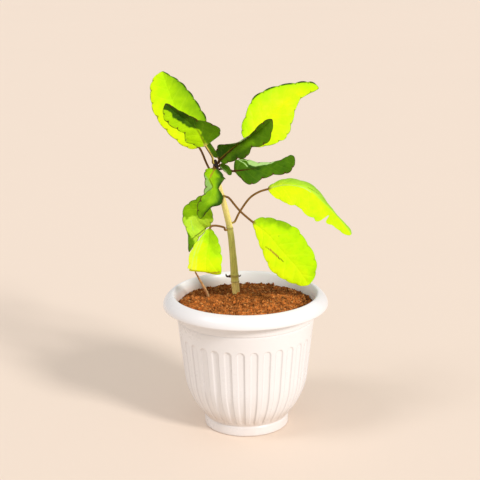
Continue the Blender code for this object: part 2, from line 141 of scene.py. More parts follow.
LEAVES = {
    "leaf_top_left_back": Leaf(
        235.5, ((-34, 9, 244), (-37, 12, 251)),
        ((-40, 13.5, 256.5), (-51, 24, 272), (-61, 33, 289), (-68, 41, 305), (-73, 47, 320)),
        ((0.1, -1, 0.1), (0, -1, 0.15)),
        Half((11, 15, 19, 20, 17, 15), (4, 4), (-8, -10)),
        Half((16, 20, 20, 18, 13, 4), (4, 4), (-8, -10)), 8,
        Look(0.635, -0.27, -0.10, 0.0, 0.8, 0.1, 0.6)),
    "leaf_top_left_front": Leaf(
        245.5, ((-27.8, -4.2, 250.8), (-31.2, -6, 257.6)),
        ((-33.6, -7.4, 262), (-40, -16, 277), (-48, -24, 287), (-58, -31, 296), (-66, -36, 304)),
        ((0.1, -1, 0.4), (0.1, -1, 0.5), (0.1, -1, 0.5)),
        Half((9, 15, 11, 12, 12, 9), (-10, -10), (-10, -10)),
        Half((24, 18, 8, 8, 4, 3), (0, 30, 60, 30), (10, 20, 20, 0)), 7,
        Look(0.58, 0.0, 0.0, 0.0, 0.05, 0.7, 0.9)),
    "leaf_top_right_back": Leaf(
        241.0, ((-16, 6, 250), (-7, 9, 256)),
        ((3, 12, 260), (16, 20, 276), (29, 28, 288), (46, 36, 298), (68, 42, 304)),
        ((0, -1, 0.25), (0, -1, 0.25)),
        Half((15, 17, 21.5, 18, 12, 12), (12, 10), (-10, -8)),
        Half((14, 24, 24, 16, 5, 2), (12, 10), (-10, -8)), 8,
        Look(0.77, 0.06, -0.08, 0.22, 0.5, 0.1, 0.55)),
    "leaf_top_right_front": Leaf(
        245.0, ((-21.8, -2.8, 246.8),),
        ((-21.4, -6.6, 249), (-9, -16, 262), (1, -24, 271), (12, -31, 278.5), (24, -37, 290)),
        ((-0.2, -0.85, 0.5), (-0.2, -0.85, 0.5)),
        Half((11, 12, 6, 4.5, 6, 5), (10, 60, 110, 80, 40), (10, 20, 20, 10, 0)),
        Half((9, 11, 15, 11, 14, 8), (5, 5), (-20, -20)), 7,
        Look(0.09, 0.05, 0.12, 0.0, 1.0, 0.4, 0.9)),
    "leaf_middle_right": Leaf(
        238.5, ((-18, 3, 239.5), (-12.5, 5.5, 237.2)),
        ((-9, 7, 236), (5, 9, 237), (19, 11, 239), (33, 12, 242), (45, 12, 247)),
        ((0, -0.5, 0.85), (0, -0.5, 0.85)),
        Half((18, 12, 7, 4, 4, 7), (60, 30, 30), (-60, -40, -30)),
        Half((2, 15, 11.5, 10, 12, 10), (-20, -20), (-15, -15)), 7,
        Look(0.10, 0.0, 0.06, 0.0, 1.0, 0.9, 0.9)),
    "leaf_arched_right": Leaf(
        187.0, ((-8.3, 9.9, 190), (-4.4, 9.1, 198), (4, 9, 210), (12, 8, 216)),
        ((21, 8, 219), (37, 10, 222), (54, 10, 218), (68, 8, 207), (82, 4, 194), (95, 0, 178)),
        ((0, -0.45, 0.9), (0.3, -0.55, 0.7), (0.6, -0.6, 0.5)),
        Half((7, 11, 15, 12, 3.5, 10), (10, 0, -10, 0), (-30, -30, -20, -10)),
        Half((16, 20, 19, 21, 12, 9), (-10, -10, 0, 0), (-15, -15, -10, -10)), 8,
        Look(0.74, 0.12, -0.16, 0.12, 0.56, 0.1, 0.1)),
    "leaf_low_right": Leaf(
        214.5, ((-13, -3, 213), (-4, -8, 203)),
        ((7, -12, 194), (21, -20, 184), (32, -27, 172), (45, -32, 158), (56, -33, 142)),
        ((0, -1, 0.35), (-0.1, -1, 0.1)),
        Half((12, 16, 23, 22, 19, 13), (6, 5), (-12, -12)),
        Half((3, 11, 15, 19, 16, 11), (6, 5), (-12, -12)), 8,
        Look(0.75, 0.14, 0.0, 0.06, 0.66, 0.08, 0.22)),
    "leaf_low_left": Leaf(
        182.0, ((-19, 6, 184.6), (-27, -3, 188.6)),
        ((-31, -6, 187), (-32, -14, 177), (-34, -22, 167), (-35, -25, 153), (-37, -16, 153),
         (-37, -10, 161)),
        ((0, -1, 0.3), (0, -1, 0.15), (0, -1, 0.1), (0, -1, -0.3), (0, 0.3, -1), (0, 1, -0.1)),
        Half((4, 10, 14, 14, 14, 10), (8, 4), (-14, -10)),
        Half((4, 10, 15, 16, 12, 8), (8, 4), (-14, -10)), 8,
        Look(0.74, 0.16, 0.3, 0.0, 0.64, 0.1, 0.1)),
    "leaf_side_left": Leaf(
        213.0, ((-25, 9, 212),),
        ((-32, 12, 209), (-39, 18, 200), (-47, 21, 188), (-49, 20, 176), (-51, 15, 159)),
        ((0.1, -0.8, 0.6), (0.1, -1, 0.1)),
        Half((9, 15, 17, 16, 9, 2), (8, 8), (-10, -10)),
        Half((10, 10, 13, 8, 3, 2), (8, 8), (-10, -10)), 8,
        Look(0.40, 0.0, 0.0, 0.0, 0.6, 0.1, 0.5)),
    "leaf_hanging_front": Leaf(
        241.5, ((-26.8, -5.2, 242.3),),
        ((-27, -9, 242), (-28.6, -15, 236), (-27.8, -20, 228), (-29, -24, 220), (-33, -27, 212),
         (-39, -25, 201)),
        ((0, -0.9, 0.5), (0.2, -1, 0.2), (0.2, -1, 0.2), (0, -1, 0.1)),
        Half((13, 14, 7.0, 12, 4, 3), (0, 0), (-20, -20)),
        Half((11, 7, 7, 8, 9, 7), (-20, 10), (10, 10)), 7,
        Look(0.38, 0.06, -0.12, 0.12, 0.8, 0.2, 0.9)),
    "young_leaf_upper": Leaf(
        244.0, ((-22.3, 4.0, 246.6),),
        ((-23.2, 3.5, 249.5), (-30.2, 2.5, 258), (-33, 2, 266)),
        ((0.3, -1, 0.2), (0.1, -1, 0.3)),
        Half((2.8, 3.1, 2.4), (10, 10), (0, 0)),
        Half((2.8, 3.1, 2.4), (10, 10), (0, 0)), 3,
        Look(0.14, 0.0, 0.0, 0.0, 0.4, 0.2, 0.5)),
    "young_leaf_lower": Leaf(
        242.0, ((-21.2, -0.8, 242.6),),
        ((-20.9, -2.6, 243.8), (-15.7, -4, 240.5), (-11.6, -4, 235)),
        ((0, -1, 0.3), (0.1, -1, 0.3)),
        Half((2.6, 3.1, 2.2), (10, 10), (0, 0)),
        Half((2.6, 3.1, 2.2), (10, 10), (0, 0)), 3,
        Look(0.10, 0.0, 0.0, 0.0, 0.8, 0.2, 0.5)),
}

# Tears in the right half of the arched leaf: share of the blade, reach in shares of it, and depth,
# which is less than 0 for a flap that stands out
TEARS = ((0.700, 0.03, -3.2), (0.745, 0.013, 9.5), (0.795, 0.025, -2.6))

# Marks painted on a leaf's face: what they do, how far they reach from their line, how strong they
# are, and the line's points, across the midrib to the right and along it. Ripe adds ripeness, and
# the others blend in a colour. Some ripe and pale marks are painted light and shade, noted at each.
Mark = namedtuple("Mark", "kind reach strength line")
MARKS = {
    "leaf_top_right_front": (
        Mark("stain", 1.0, 0.9, ((1.0, 2), (1.1, 8.7))),
        Mark("stain", 0.9, 0.85, ((0.9, 11), (0.9, 16))),
        Mark("stain", 0.5, 0.6, ((0.8, 18), (0.6, 30))),
        Mark("dried", 0.5, 0.35, ((-0.6, 0), (-0.7, 13), (-0.4, 26))),
        # Painted light: a lighter, lit streak beside the midrib
        Mark("ripe", 3.4, 0.15, ((3.9, 5), (3.7, 15), (5, 29), (6.3, 43))),
        # Painted highlight along the turned upper edge
        Mark("pale", 0.9, 0.75, ((-6.4, 24), (-3.8, 33))),
        Mark("pale", 0.6, 0.4, ((-3.8, 33), (-3.4, 44)))),
    "leaf_middle_right": (
        Mark("pale", 0.6, 0.95, ((-10.0, 6), (-5.9, 10.3), (-3.0, 12))),
        Mark("pale", 0.5, 0.9, ((-11, 4), (-8.5, 14))),
        # Painted shade: a darker patch by the midrib under the curled half
        Mark("ripe", 2.2, -0.11, ((-4, 14), (-1.5, 16), (0.6, 21))),
        Mark("stain", 0.7, 0.8, ((0, 0), (0, 9)))),
    "leaf_hanging_front": (
        # Painted shade: darker by the base and down the leaf's right side
        Mark("ripe", 4.0, -0.3, ((-4.5, 2), (-9.5, 6))),
        Mark("ripe", 3.6, -0.2, ((-6.5, 13), (-8.5, 27))),
        Mark("dried", 0.8, 0.7, ((-1.6, 1), (1.1, 11))),
        Mark("stain", 0.45, 0.6, ((1.8, 12), (-0.3, 20), (4.3, 25), (8.3, 33))),
        Mark("pale", 1.0, 0.8, ((1.2, 49.5), (1.2, 49.5))),
        Mark("ripe", 2.2, -0.15, ((-0.5, 45), (-2.7, 39), (-6.3, 33.5), (-10.3, 31.5)))),
    "leaf_arched_right": (
        Mark("pale", 0.6, 0.5, ((0, 1), (0, 20), (-0.8, 36), (-0.8, 43))),
        Mark("stain", 0.4, 0.6, ((-3.4, 39), (-6.6, 50)))),
    "leaf_low_right": (
        Mark("ripe", 5.5, -0.2, ((-4.5, 3), (-11.4, 12), (-17.5, 22))),
        Mark("stain", 0.5, 0.75, ((8.9, 26), (6.8, 34), (5.4, 46))),
        Mark("dried", 1.0, 0.8, ((7.4, 31), (6.1, 40))),
        Mark("stain", 0.35, 0.8, ((7.0, 34), (6.2, 43))),
        Mark("stain", 0.5, 0.6, ((-5.8, 26.2), (-5.8, 26.2)))),
    "leaf_low_left": (
        Mark("dried", 0.7, 0.7, ((11, 47), (8.9, 44.5), (4.1, 41), (-1.7, 37.6), (-7, 36.3), (-12, 35.2))),
        Mark("ripe", 5.5, -0.08, ((3.2, 5), (-1.9, 12), (-5.2, 20))),
        Mark("pale", 0.5, 0.3, ((8, 12), (12.2, 30), (13, 38))),
        Mark("pale", 0.5, 0.25, ((6, 12), (8.8, 30), (9, 38)))),
    "leaf_side_left": (
        Mark("pale", 0.4, 0.25, ((1.7, 30), (-2, 41))),
        Mark("stain", 0.6, 0.6, ((-1.6, 48), (-7.3, 43), (-14, 37)))),
    "young_leaf_lower": (Mark("pale", 0.5, 0.7, ((1.6, 1), (2.4, 4), (2.6, 11))),),
}

# Dry pieces
TWIG_LINE = ((-34.5, 22, 108), (-35, 21, 116), (-38, 13, 126), (-42, 4, 137), (-45, -4, 146))
TWIG_RADII = (1.3, 1.4, 1.2, 0.9, 0.7)
FORK_LINE = ((-35.4, 20, 118), (-36.8, 19.4, 121), (-37.2, 19.0, 125))
FORK_RADII = (0.7, 0.55, 0.25)
STUB_HEIGHT = 136.0
# Lumps: the share by which a radius varies, and their seed
TWIG_LUMPS, FORK_LUMPS, STUB_LUMPS = (0.18, 31), (0.2, 32), (0.35, 33)
# A stub: the side of the stem that it is on, its line out from there, and its radii
STUBS = {
    "dry_stub_left": (-1, ((0, 0, 0), (1.6, 0, -0.2), (3.4, 0.6, 0.4), (4.2, 0.6, 2.4)),
                      (1.3, 1.1, 0.8, 0.4)),
    "dry_stub_right": (1, ((0, 0, 0), (1.0, 0, 0.1), (1.8, 0.5, 1.4)), (0.75, 0.6, 0.35)),
}

# Fineness: points round or across a surface, and rows of them along it
FLUTE_COLUMNS, DRAIN_SIDES = 16, 32
SOIL_SIDES, SOIL_ROWS = 480, 140
CRUMB_SIDES = 5
FIBRE_SIDES, FIBRE_ROWS = 3, 6
STEM_SIDES, STEM_ROWS = 48, 330
LEAF_COLUMNS, MARKED_COLUMNS = 41, 57
TOOTH_ROWS, TORN_TOOTH_ROWS = 16, 28
PETIOLE_ROWS = 14        # to each of a petiole's spans
TWIG_ROWS, TWIG_SIDES = 90, 20
FORK_ROWS, FORK_SIDES = 24, 12
STUB_ROWS, STUB_SIDES = 30, 14
LATTICE = 64             # steps after which a random field repeats

# Colours that no setting holds
SMUDGE = (0.72, 0.66, 0.60, 1.0)
# Painted shade along the channels' edges
CHANNEL_EDGE_SHADE = (0.50, 0.47, 0.46, 1.0)
# Painted warm reflection of the soil on the inner wall
SOIL_REFLECTION = (0.66, 0.42, 0.27, 1.0)
# Painted shade low on the pot and along its foot
FOOT_SHADE = (0.55, 0.40, 0.28, 1.0)
DAMP_FIBRE = (0.08, 0.02, 0.005, 1.0)
BRIGHT_FIBRE = (0.85, 0.42, 0.12, 1.0)
# Painted shade in the gaps between fibres
FIBRE_GAP_SHADE = (0.06, 0.013, 0.003, 1.0)
LEAF_MOTTLE = (0.84, 0.90, 0.7, 1.0)     # what a leaf's colour is multiplied by in its darker patches
VEIN_LIFT = (0.07, 0.07, 0.01, 1.0)      # and what is added to it along a vein
STEM_STREAK = (1.5, 1.4, 1.9, 1.0)       # what the stem's colour is multiplied by in a streak
WART = (0.30, 0.17, 0.06, 1.0)
FLOOR_SHADE = (0.7, 0.6, 0.5, 1.0)
SKY = (1.0, 0.985, 0.975, 1.0)

# Stage: half the floor's size, its gap below the foot, and for each light its spread in degrees, its
# colour and the direction that it shines in
FLOOR_REACH, FLOOR_GAP = 9000.0, 0.05
KEY_LIGHT = (12, (1.0, 0.975, 0.955), (-0.62, 0.62, -0.49))
SIDE_LIGHT = (20, (0.96, 0.97, 1.0), (0.52, 0.25, -0.82))


def through(points, share):
    """Smooth curve through evenly spaced points, read at shares 0 to 1 of its length.

    Catmull-Rom: on each span a cubic whose slope at a point is half the step between its neighbours.
    """
    points = np.asarray(points, float).reshape(len(points), -1)
    last = len(points) - 1
    place = np.clip(share, 0, 1) * last
    index = np.minimum(place.astype(int), last - 1)
    f = (place - index)[:, None]
    held = np.concatenate((2 * points[:1] - points[1:2], points, 2 * points[-1:] - points[-2:-1]))
    a, b, c, d = (held[index + step] for step in range(4))
    return b + 0.5 * f * (c - a + f * (2 * a - 5 * b + 4 * c - d + f * (3 * (b - c) + d - a)))


def unit(vectors):
    """Vectors made 1 long."""
    return vectors / np.linalg.norm(vectors, axis=-1, keepdims=True)


def ramp(low, high, value):
    """0 below low, 1 above high, and 3x^2 - 2x^3 between them; low may be the higher number."""
    x = np.clip((value - low) / (high - low), 0, 1)
    return x * x * (3 - 2 * x)


def patches(x, y, size, seed):
    """Smooth random field from -1 to 1: seeded values on a square lattice, blended between its corners."""
    lattice = np.random.default_rng(seed).uniform(-1, 1, (LATTICE, LATTICE))
    x, y = x / size, y / size
    i, j = np.floor(x).astype(int), np.floor(y).astype(int)
    f, g = ramp(0, 1, x - i), ramp(0, 1, y - j)

    def between(row):
        """Values along one row of the lattice."""
        low, high = (lattice[(i + step) % LATTICE, (j + row) % LATTICE] for step in (0, 1))
        return low * (1 - f) + high * f
    return between(0) * (1 - g) + between(1) * g


def from_line(points, line):
    """Distance of each point from a line of straight stretches."""
    line = np.asarray(line, float)
    nearest = np.full(points.shape[:-1], np.inf)
    for a, b in zip(line[:-1], line[1:]):
        share = np.clip((points - a) @ (b - a) / max((b - a) @ (b - a), 1e-9), 0, 1)
        nearest = np.minimum(nearest, np.linalg.norm(points - a - share[..., None] * (b - a), axis=-1))
    return nearest


def mixed(first, second, weight):
    """Colours that go from first to second as weight goes from 0 to 1."""
    first, second = np.asarray(first, float), np.asarray(second, float)
    return first + (second - first) * np.asarray(weight)[..., None]


def covered(colour, *layers):
    """Colours with others laid over them in turn, each by a weight that is held between 0 and 1."""
    for weight, cover in layers:
        colour = mixed(colour, cover, np.clip(weight, 0, 1))
    return colour


def grid_faces(rows, columns, closed=True):
    """Quads of a grid of points numbered row by row, whose rows close on themselves if asked."""
    j = np.arange(columns if closed else columns - 1)
    i = np.arange(rows - 1)[:, None] * columns
    k = (j + 1) % columns
    return np.stack((i + j, i + k, i + columns + k, i + columns + j), -1).reshape(-1, 4)


def ring_surface(rings):
    """Points and faces of a tube of rings, closed by a fan at either end."""
    rings = np.asarray(rings, float)
    rows, columns = rings.shape[:2]
    points = np.concatenate((rings.reshape(-1, 3), rings[:1].mean(1), rings[-1:].mean(1)))
    j = np.arange(columns)
    k = (j + 1) % columns
    end = (rows - 1) * columns
    start_fan = np.stack((np.full(columns, len(points) - 2), k, j), -1)
    end_fan = np.stack((np.full(columns, len(points) - 1), end + j, end + k), -1)
    return points, grid_faces(rows, columns).tolist() + start_fan.tolist() + end_fan.tolist()


def joined(*surfaces):
    """One surface from several, each given as its points and faces."""
    points, faces, start = [], [], 0
    for part, sides in surfaces:
        points.append(part)
        faces += [[index + start for index in face] for face in sides]
        start += len(part)
    return np.concatenate(points), faces


def repeated(faces, count, size):
    """Faces of so many copies of a surface that has this many points, with the copies one after another."""
    faces = np.asarray(faces)
    return (faces + np.arange(count)[:, None, None] * size).reshape(-1, faces.shape[1]).tolist()


def add_field(mesh, key, values):
    """Gives a mesh a named attribute: a colour or three numbers at each vertex."""
    field = mesh.attributes.new(key, "FLOAT_VECTOR", "POINT")
    field.data.foreach_set("vector", np.ascontiguousarray(values, np.float32).ravel())


def add_piece(name, points, faces, material, fields=None):
    """Object at the origin from points in millimetres, with a named attribute for each field."""
    mesh = bpy.data.meshes.new(name)
    mesh.from_pydata((np.asarray(points) * MM).tolist(), [], faces)
    for key, values in (fields or {}).items():
        add_field(mesh, key, values)
    mesh.materials.append(material)
    mesh.shade_smooth()
    mesh.validate()
    piece = bpy.data.objects.new(name, mesh)
    bpy.context.scene.collection.objects.link(piece)
    return piece


def dress(piece, *nodes):
    """The piece stands for these solids: they are hidden and the piece is hung from the root."""
    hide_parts(*nodes)
    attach(piece, "root")


def tube(line, radii, rows, sides, rough=0.0, seed=0):
    """Rings round a line; the radius varies by up to the share rough in lumps along and round it."""
    share = np.linspace(0, 1, rows)[:, None]
    middle = through(line, share[:, 0])
    along = unit(np.gradient(middle, axis=0))
    across = unit(np.cross(along, (0.0, 1.0, 0.0)))
    up = np.cross(across, along)
    turn = np.arange(sides) * 2 * np.pi / sides
    lumps = patches(share * rows / 3 + 0 * turn, 5 + 2 * np.cos(turn) + 0 * share, 1.0, seed)
    radius = through(radii, share[:, 0]) * (1 + rough * lumps)
    return middle[:, None] + radius[..., None] * (
        np.cos(turn)[:, None] * across[:, None] - np.sin(turn)[:, None] * up[:, None])


def feed(tree, sockets, inputs):
    """Gives input sockets, found by name or number, a socket to link or a value to keep."""
    for key, value in inputs.items():
        if isinstance(value, bpy.types.NodeSocket):
            tree.links.new(value, sockets[key])
        else:
            sockets[key].default_value = value


def node(tree, kind, inputs, **settings):
    """Shader node with these inputs and settings."""
    made = tree.nodes.new("ShaderNode" + kind)
    for key, value in settings.items():
        setattr(made, key, value)
    feed(tree, made.inputs, inputs)
    return made


def maths(tree, operation, *values):
    """Result of a Math node."""
    return node(tree, "Math", dict(enumerate(values)), operation=operation).outputs[0]


def times(tree, first, second):
    """Product of two numbers."""
    return maths(tree, "MULTIPLY", first, second)


def plus(tree, first, second):
    """Sum of two numbers."""
    return maths(tree, "ADD", first, second)


def off_half(tree, count):
    """How far a running count is from the middle of its step: 0 there and a half where the step ends."""
    return maths(tree, "ABSOLUTE", maths(tree, "SUBTRACT", maths(tree, "FRACT", count), 0.5))


def fade(tree, value, low, high, start=0.0, end=1.0):
    """Smooth step of a value: start at low, end at high."""
    return node(tree, "MapRange", {0: value, 1: low, 2: high, 3: start, 4: end},
                interpolation_type="SMOOTHSTEP").outputs[0]


def tint(tree, factor, first, second, blend="MIX"):
    """Mix of two colours."""
    return node(tree, "Mix", {0: factor, 6: first, 7: second}, data_type="RGBA", blend_type=blend).outputs[2]


def layered(tree, colour, *layers):
    """A colour with others laid over it in turn, each by its weight."""
    for weight, cover in layers:
        colour = tint(tree, weight, colour, cover)
    return colour


def parts(tree, vector):
    """The three numbers of a vector."""
    return node(tree, "SeparateXYZ", {0: vector}).outputs


def attribute(tree, name, output="Vector"):
    """An attribute of the mesh, as three numbers or as a colour."""
    return node(tree, "Attribute", {}, attribute_name=name).outputs[output]


def noise(tree, vector, scale, detail=3.0, roughness=0.55):
    """Noise round a half, so many patches to the metre."""
    return node(tree, "TexNoise", {"Vector": vector, "Scale": scale, "Detail": detail,
                                   "Roughness": roughness}).outputs[0]


def cells(tree, vector, scale, feature="F1"):
    """Distance from the middles of random cells, or from the borders between them."""
    return node(tree, "TexVoronoi", {"Vector": vector, "Scale": scale}, feature=feature).outputs["Distance"]


def places(tree, stretch=(1.0, 1.0, 1.0)):
    """Object coordinates, stretched."""
    coordinates = node(tree, "TexCoord", {}).outputs["Object"]
    return node(tree, "Mapping", {"Vector": coordinates, "Scale": stretch}).outputs[0]


def effect(inputs, outputs):
    """Makes a node group of the function that fills it: named after it, built once and then found by name.

    An input with a number is a number and one with None a vector, and the outputs are numbers. The
    function gets the tree and the input sockets, and returns what goes to each output.
    """
    def grouped(fill):
        """The function that gives the group."""
        name = fill.__name__.capitalize()

        def group():
            """The group, built if it isn't there yet."""
            tree = bpy.data.node_groups.get(name)
            if tree is None:
                tree = bpy.data.node_groups.new(name, "ShaderNodeTree")
                for label, start in inputs.items():
                    kind = "NodeSocketVector" if start is None else "NodeSocketFloat"
                    socket = tree.interface.new_socket(label, in_out="INPUT", socket_type=kind)
                    if start is not None:
                        socket.default_value = start
                for label in outputs:
                    tree.interface.new_socket(label, in_out="OUTPUT", socket_type="NodeSocketFloat")
                given = tree.nodes.new("NodeGroupInput").outputs
                feed(tree, tree.nodes.new("NodeGroupOutput").inputs, fill(tree, given))
            return tree
        return group
    return grouped


def use(tree, group, **inputs):
    """Places a node group in a tree and returns its outputs."""
    made = tree.nodes.new("ShaderNodeGroup")
    made.node_tree = group()
    feed(tree, made.inputs, inputs)
    return made.outputs


@effect({"Vector": None, "Size": 100.0}, ("Value",))
def mottle(tree, given):
    """Two sizes of soft patches, from 0 to 1 round a half."""
    large = noise(tree, given["Vector"], given["Size"], 2.0)
    small = noise(tree, given["Vector"], times(tree, given["Size"], 4.3), 4.0)
    return {"Value": fade(tree, plus(tree, times(tree, large, 0.65), times(tree, small, 0.35)), 0.3, 0.7)}


@effect({"Vector": None, "Size": 900.0}, ("Height",))
def grain(tree, given):
    """Fine relief for a bump."""
    pits = cells(tree, given["Vector"], given["Size"])
    fine = noise(tree, given["Vector"], times(tree, given["Size"], 0.7), 4.0, 0.65)
    return {"Height": plus(tree, times(tree, pits, 0.5), fine)}


@effect({"Vein": None, "Vector": None}, ("Side", "Height"))
def veins(tree, given):
    """Midrib, side veins and the net between them, from a leaf's vein attribute."""
    phase, from_rib, across = parts(tree, given["Vein"])
    wander = times(tree, maths(tree, "SUBTRACT", noise(tree, given["Vector"], 130.0), 0.5), 0.5)
    inside = fade(tree, across, 0.98, 0.6)
    side = times(tree, fade(tree, off_half(tree, plus(tree, phase, wander)), 0.10, 0.0), inside)
    net = times(tree, fade(tree, cells(tree, given["Vector"], 420.0, "DISTANCE_TO_EDGE"), 0.12, 0.0), 0.35)
    midrib = fade(tree, from_rib, 0.9, 0.25)
    return {"Side": maths(tree, "MAXIMUM", side, times(tree, net, inside)),
            "Height": plus(tree, side, plus(tree, midrib, net))}


@effect({"Edge": None, "Vector": None}, ("Mask",))
def margin(tree, given):
    """Thin line on a leaf's edge, thicker at each notch, from its edge attribute."""
    from_edge, tooth, strength = parts(tree, given["Edge"])
    notch = fade(tree, off_half(tree, plus(tree, tooth, 0.5)), 0.16, 0.0)
    broken = fade(tree, noise(tree, given["Vector"], 160.0), 0.35, 0.6)
    reach = plus(tree, times(tree, notch, 1.3), maths(tree, "MULTIPLY_ADD", broken, 0.7, 0.1))
    return {"Mask": times(tree, fade(tree, maths(tree, "DIVIDE", from_edge, reach), 1.2, 0.5), strength)}


def finish_material(name, roughness, colour):
    """New material with its tree and its Principled shader, whose roughness and colour are set."""
    material = bpy.data.materials.new(name)
    material.use_nodes = True
    shader = material.node_tree.nodes["Principled BSDF"]
    feed(material.node_tree, shader.inputs, {"Base Color": (*colour, 1.0), "Roughness": roughness})
    return material, material.node_tree, shader.inputs


def bump(tree, height, strength, distance):
    """Normal over a relief, whose height of 1 is this many millimetres."""
    return node(tree, "Bump", {"Height": height, "Strength": strength, "Distance": distance * MM}).outputs[0]


def plastic_material(look):
    """Moulded white plastic: faint smudges, painted shade low down and on the channels' edges, a painted warm
    reflection inside by the soil, and an all but smooth skin.
    """
    material, tree, skin = finish_material("White moulded plastic", look.roughness, look.colour)
    spots = places(tree)
    smudge = use(tree, mottle, Vector=spots, Size=45.0)["Value"]
    # The attribute holds painted light: shade on the channels' edges, shade low down, and a warm reflection
    # of the soil inside
    line, foot, inside = parts(tree, attribute(tree, "soiled"))
    low = times(tree, foot, maths(tree, "MULTIPLY_ADD", smudge, 0.4, 0.6))
    colour = layered(
        tree, (*look.colour, 1.0), (times(tree, smudge, 0.05), SMUDGE),
        (times(tree, line, look.dust), CHANNEL_EDGE_SHADE), (times(tree, inside, 0.5), SOIL_REFLECTION),
        (times(tree, low, look.dust), FOOT_SHADE))
    feed(tree, skin, {
        "Base Color": colour,
        "Roughness": fade(tree, smudge, 0.0, 1.0, look.roughness - 0.06, look.roughness + 0.1),
        "Coat Weight": 0.15, "Coat Roughness": 0.2,
        "Normal": bump(tree, use(tree, grain, Vector=spots, Size=700.0)["Height"], 0.03, 0.02)})
    return material


def soil_material():
    """Coconut fibre: colour from the attribute, broken up by damp patches, fine light fibres and painted
    shade in the gaps between fibres.
    """
    material, tree, skin = finish_material("Coconut fibre", 0.95, (0.4, 0.16, 0.05))
    spots = places(tree)
    damp = use(tree, mottle, Vector=spots, Size=260.0)["Value"]
    fibre = noise(tree, places(tree, (1.0, 3.0, 1.0)), 700.0, 4.0, 0.7)
    colour = layered(
        tree, attribute(tree, "tint", "Color"), (fade(tree, damp, 0.0, 1.0, 0.55, 0.0), DAMP_FIBRE),
        (fade(tree, fibre, 0.56, 0.72, 0.0, 0.7), BRIGHT_FIBRE),
        # Painted shade: near black where the fibre noise is low, for the gaps between fibres
        (fade(tree, fibre, 0.47, 0.34, 0.0, 0.8), FIBRE_GAP_SHADE))
    feed(tree, skin, {
        "Base Color": colour, "Specular IOR Level": 0.05,
        "Normal": bump(tree, use(tree, grain, Vector=spots, Size=500.0)["Height"], 0.9, 0.6)})
    return material


def leaf_material(look):
    """Waxy leaf: attribute colour, paler veins, a brown margin, fine mottling and a low vein relief."""
    material, tree, skin = finish_material("Waxy leaf", look.gloss, (0.4, 0.7, 0.02))
    spots = places(tree)
    own = attribute(tree, "tint", "Color")
    vein = use(tree, veins, Vein=attribute(tree, "vein"), Vector=spots)
    clear = use(tree, mottle, Vector=spots, Size=110.0)["Value"]
    darker = tint(tree, 1.0, own, LEAF_MOTTLE, "MULTIPLY")
    lighter = tint(tree, 1.0, own, VEIN_LIFT, "ADD")
    edge = use(tree, margin, Edge=attribute(tree, "edge"), Vector=spots)["Mask"]
    colour = layered(
        tree, darker, (fade(tree, clear, 0.0, 1.0, 0.0, 0.75), own),
        (times(tree, vein["Side"], look.vein_strength), lighter), (edge, (*look.margin, 1.0)))
    pores = use(tree, grain, Vector=spots, Size=1600.0)["Height"]
    height = plus(tree, times(tree, vein["Height"], -1.0), times(tree, pores, 0.12))
    feed(tree, skin, {
        "Base Color": colour, "Specular IOR Level": 0.07,
        "Roughness": fade(tree, clear, 0.0, 1.0, look.gloss + 0.12, look.gloss - 0.05),
        "Normal": bump(tree, height, 0.22, 0.3)})
    return material


def stem_material():
    """Green stem: attribute colour with streaks along it, small warts and fine rings."""
    material, tree, skin = finish_material("Green stem", 0.5, (0.4, 0.42, 0.12))
    own = attribute(tree, "tint", "Color")
    streaks = noise(tree, places(tree, (1.0, 1.0, 0.08)), 900.0)
    wart = fade(tree, cells(tree, places(tree, (1.0, 1.0, 0.6)), 330.0), 0.20, 0.08)
    colour = layered(
        tree, own, (fade(tree, streaks, 0.35, 0.7, 0.0, 0.7), tint(tree, 1.0, own, STEM_STREAK, "MULTIPLY")),
        (times(tree, wart, 0.5), WART))
    feed(tree, skin, {
        "Base Color": colour, "Normal": bump(tree, plus(tree, times(tree, streaks, 0.5), wart), 0.4, 0.3)})
    return material


def dry_material(name, light, dark):
    """Dry wood or tissue: streaks along it from light to dark."""
    material, tree, skin = finish_material(name, 0.85, light)
    streaks = noise(tree, places(tree, (1.0, 1.0, 0.15)), 800.0, 5.0, 0.7)
    patchy = use(tree, mottle, Vector=places(tree), Size=200.0)["Value"]
    dark = (*dark, 1.0)
    colour = layered(tree, (*light, 1.0), (fade(tree, streaks, 0.4, 0.65), dark),
                     (fade(tree, patchy, 0.3, 1.0, 0.0, 0.6), dark))
    feed(tree, skin, {"Base Color": colour, "Normal": bump(tree, streaks, 0.6, 0.4)})
    return material


def floor_material(look):
    """Plain pale floor with a faint shade in it."""
    material, tree, skin = finish_material("Plain floor", 0.9, look.floor)
    shade = use(tree, mottle, Vector=places(tree), Size=2.0)["Value"]
    feed(tree, skin, {"Base Color": tint(tree, times(tree, shade, 0.04), (*look.floor, 1.0), FLOOR_SHADE)})
    return material


def body_radius(height):
    """Outside of the pot's body: a straight taper, less a power of the depth below the bowl's top."""
    bowl = BOWL_DEPTH * np.maximum(0.0, (BOWL_TOP - height) / BOWL_REACH) ** BOWL_POWER
    return BODY_RADIUS + BODY_TAPER * (height - BODY_MIDDLE) - bowl


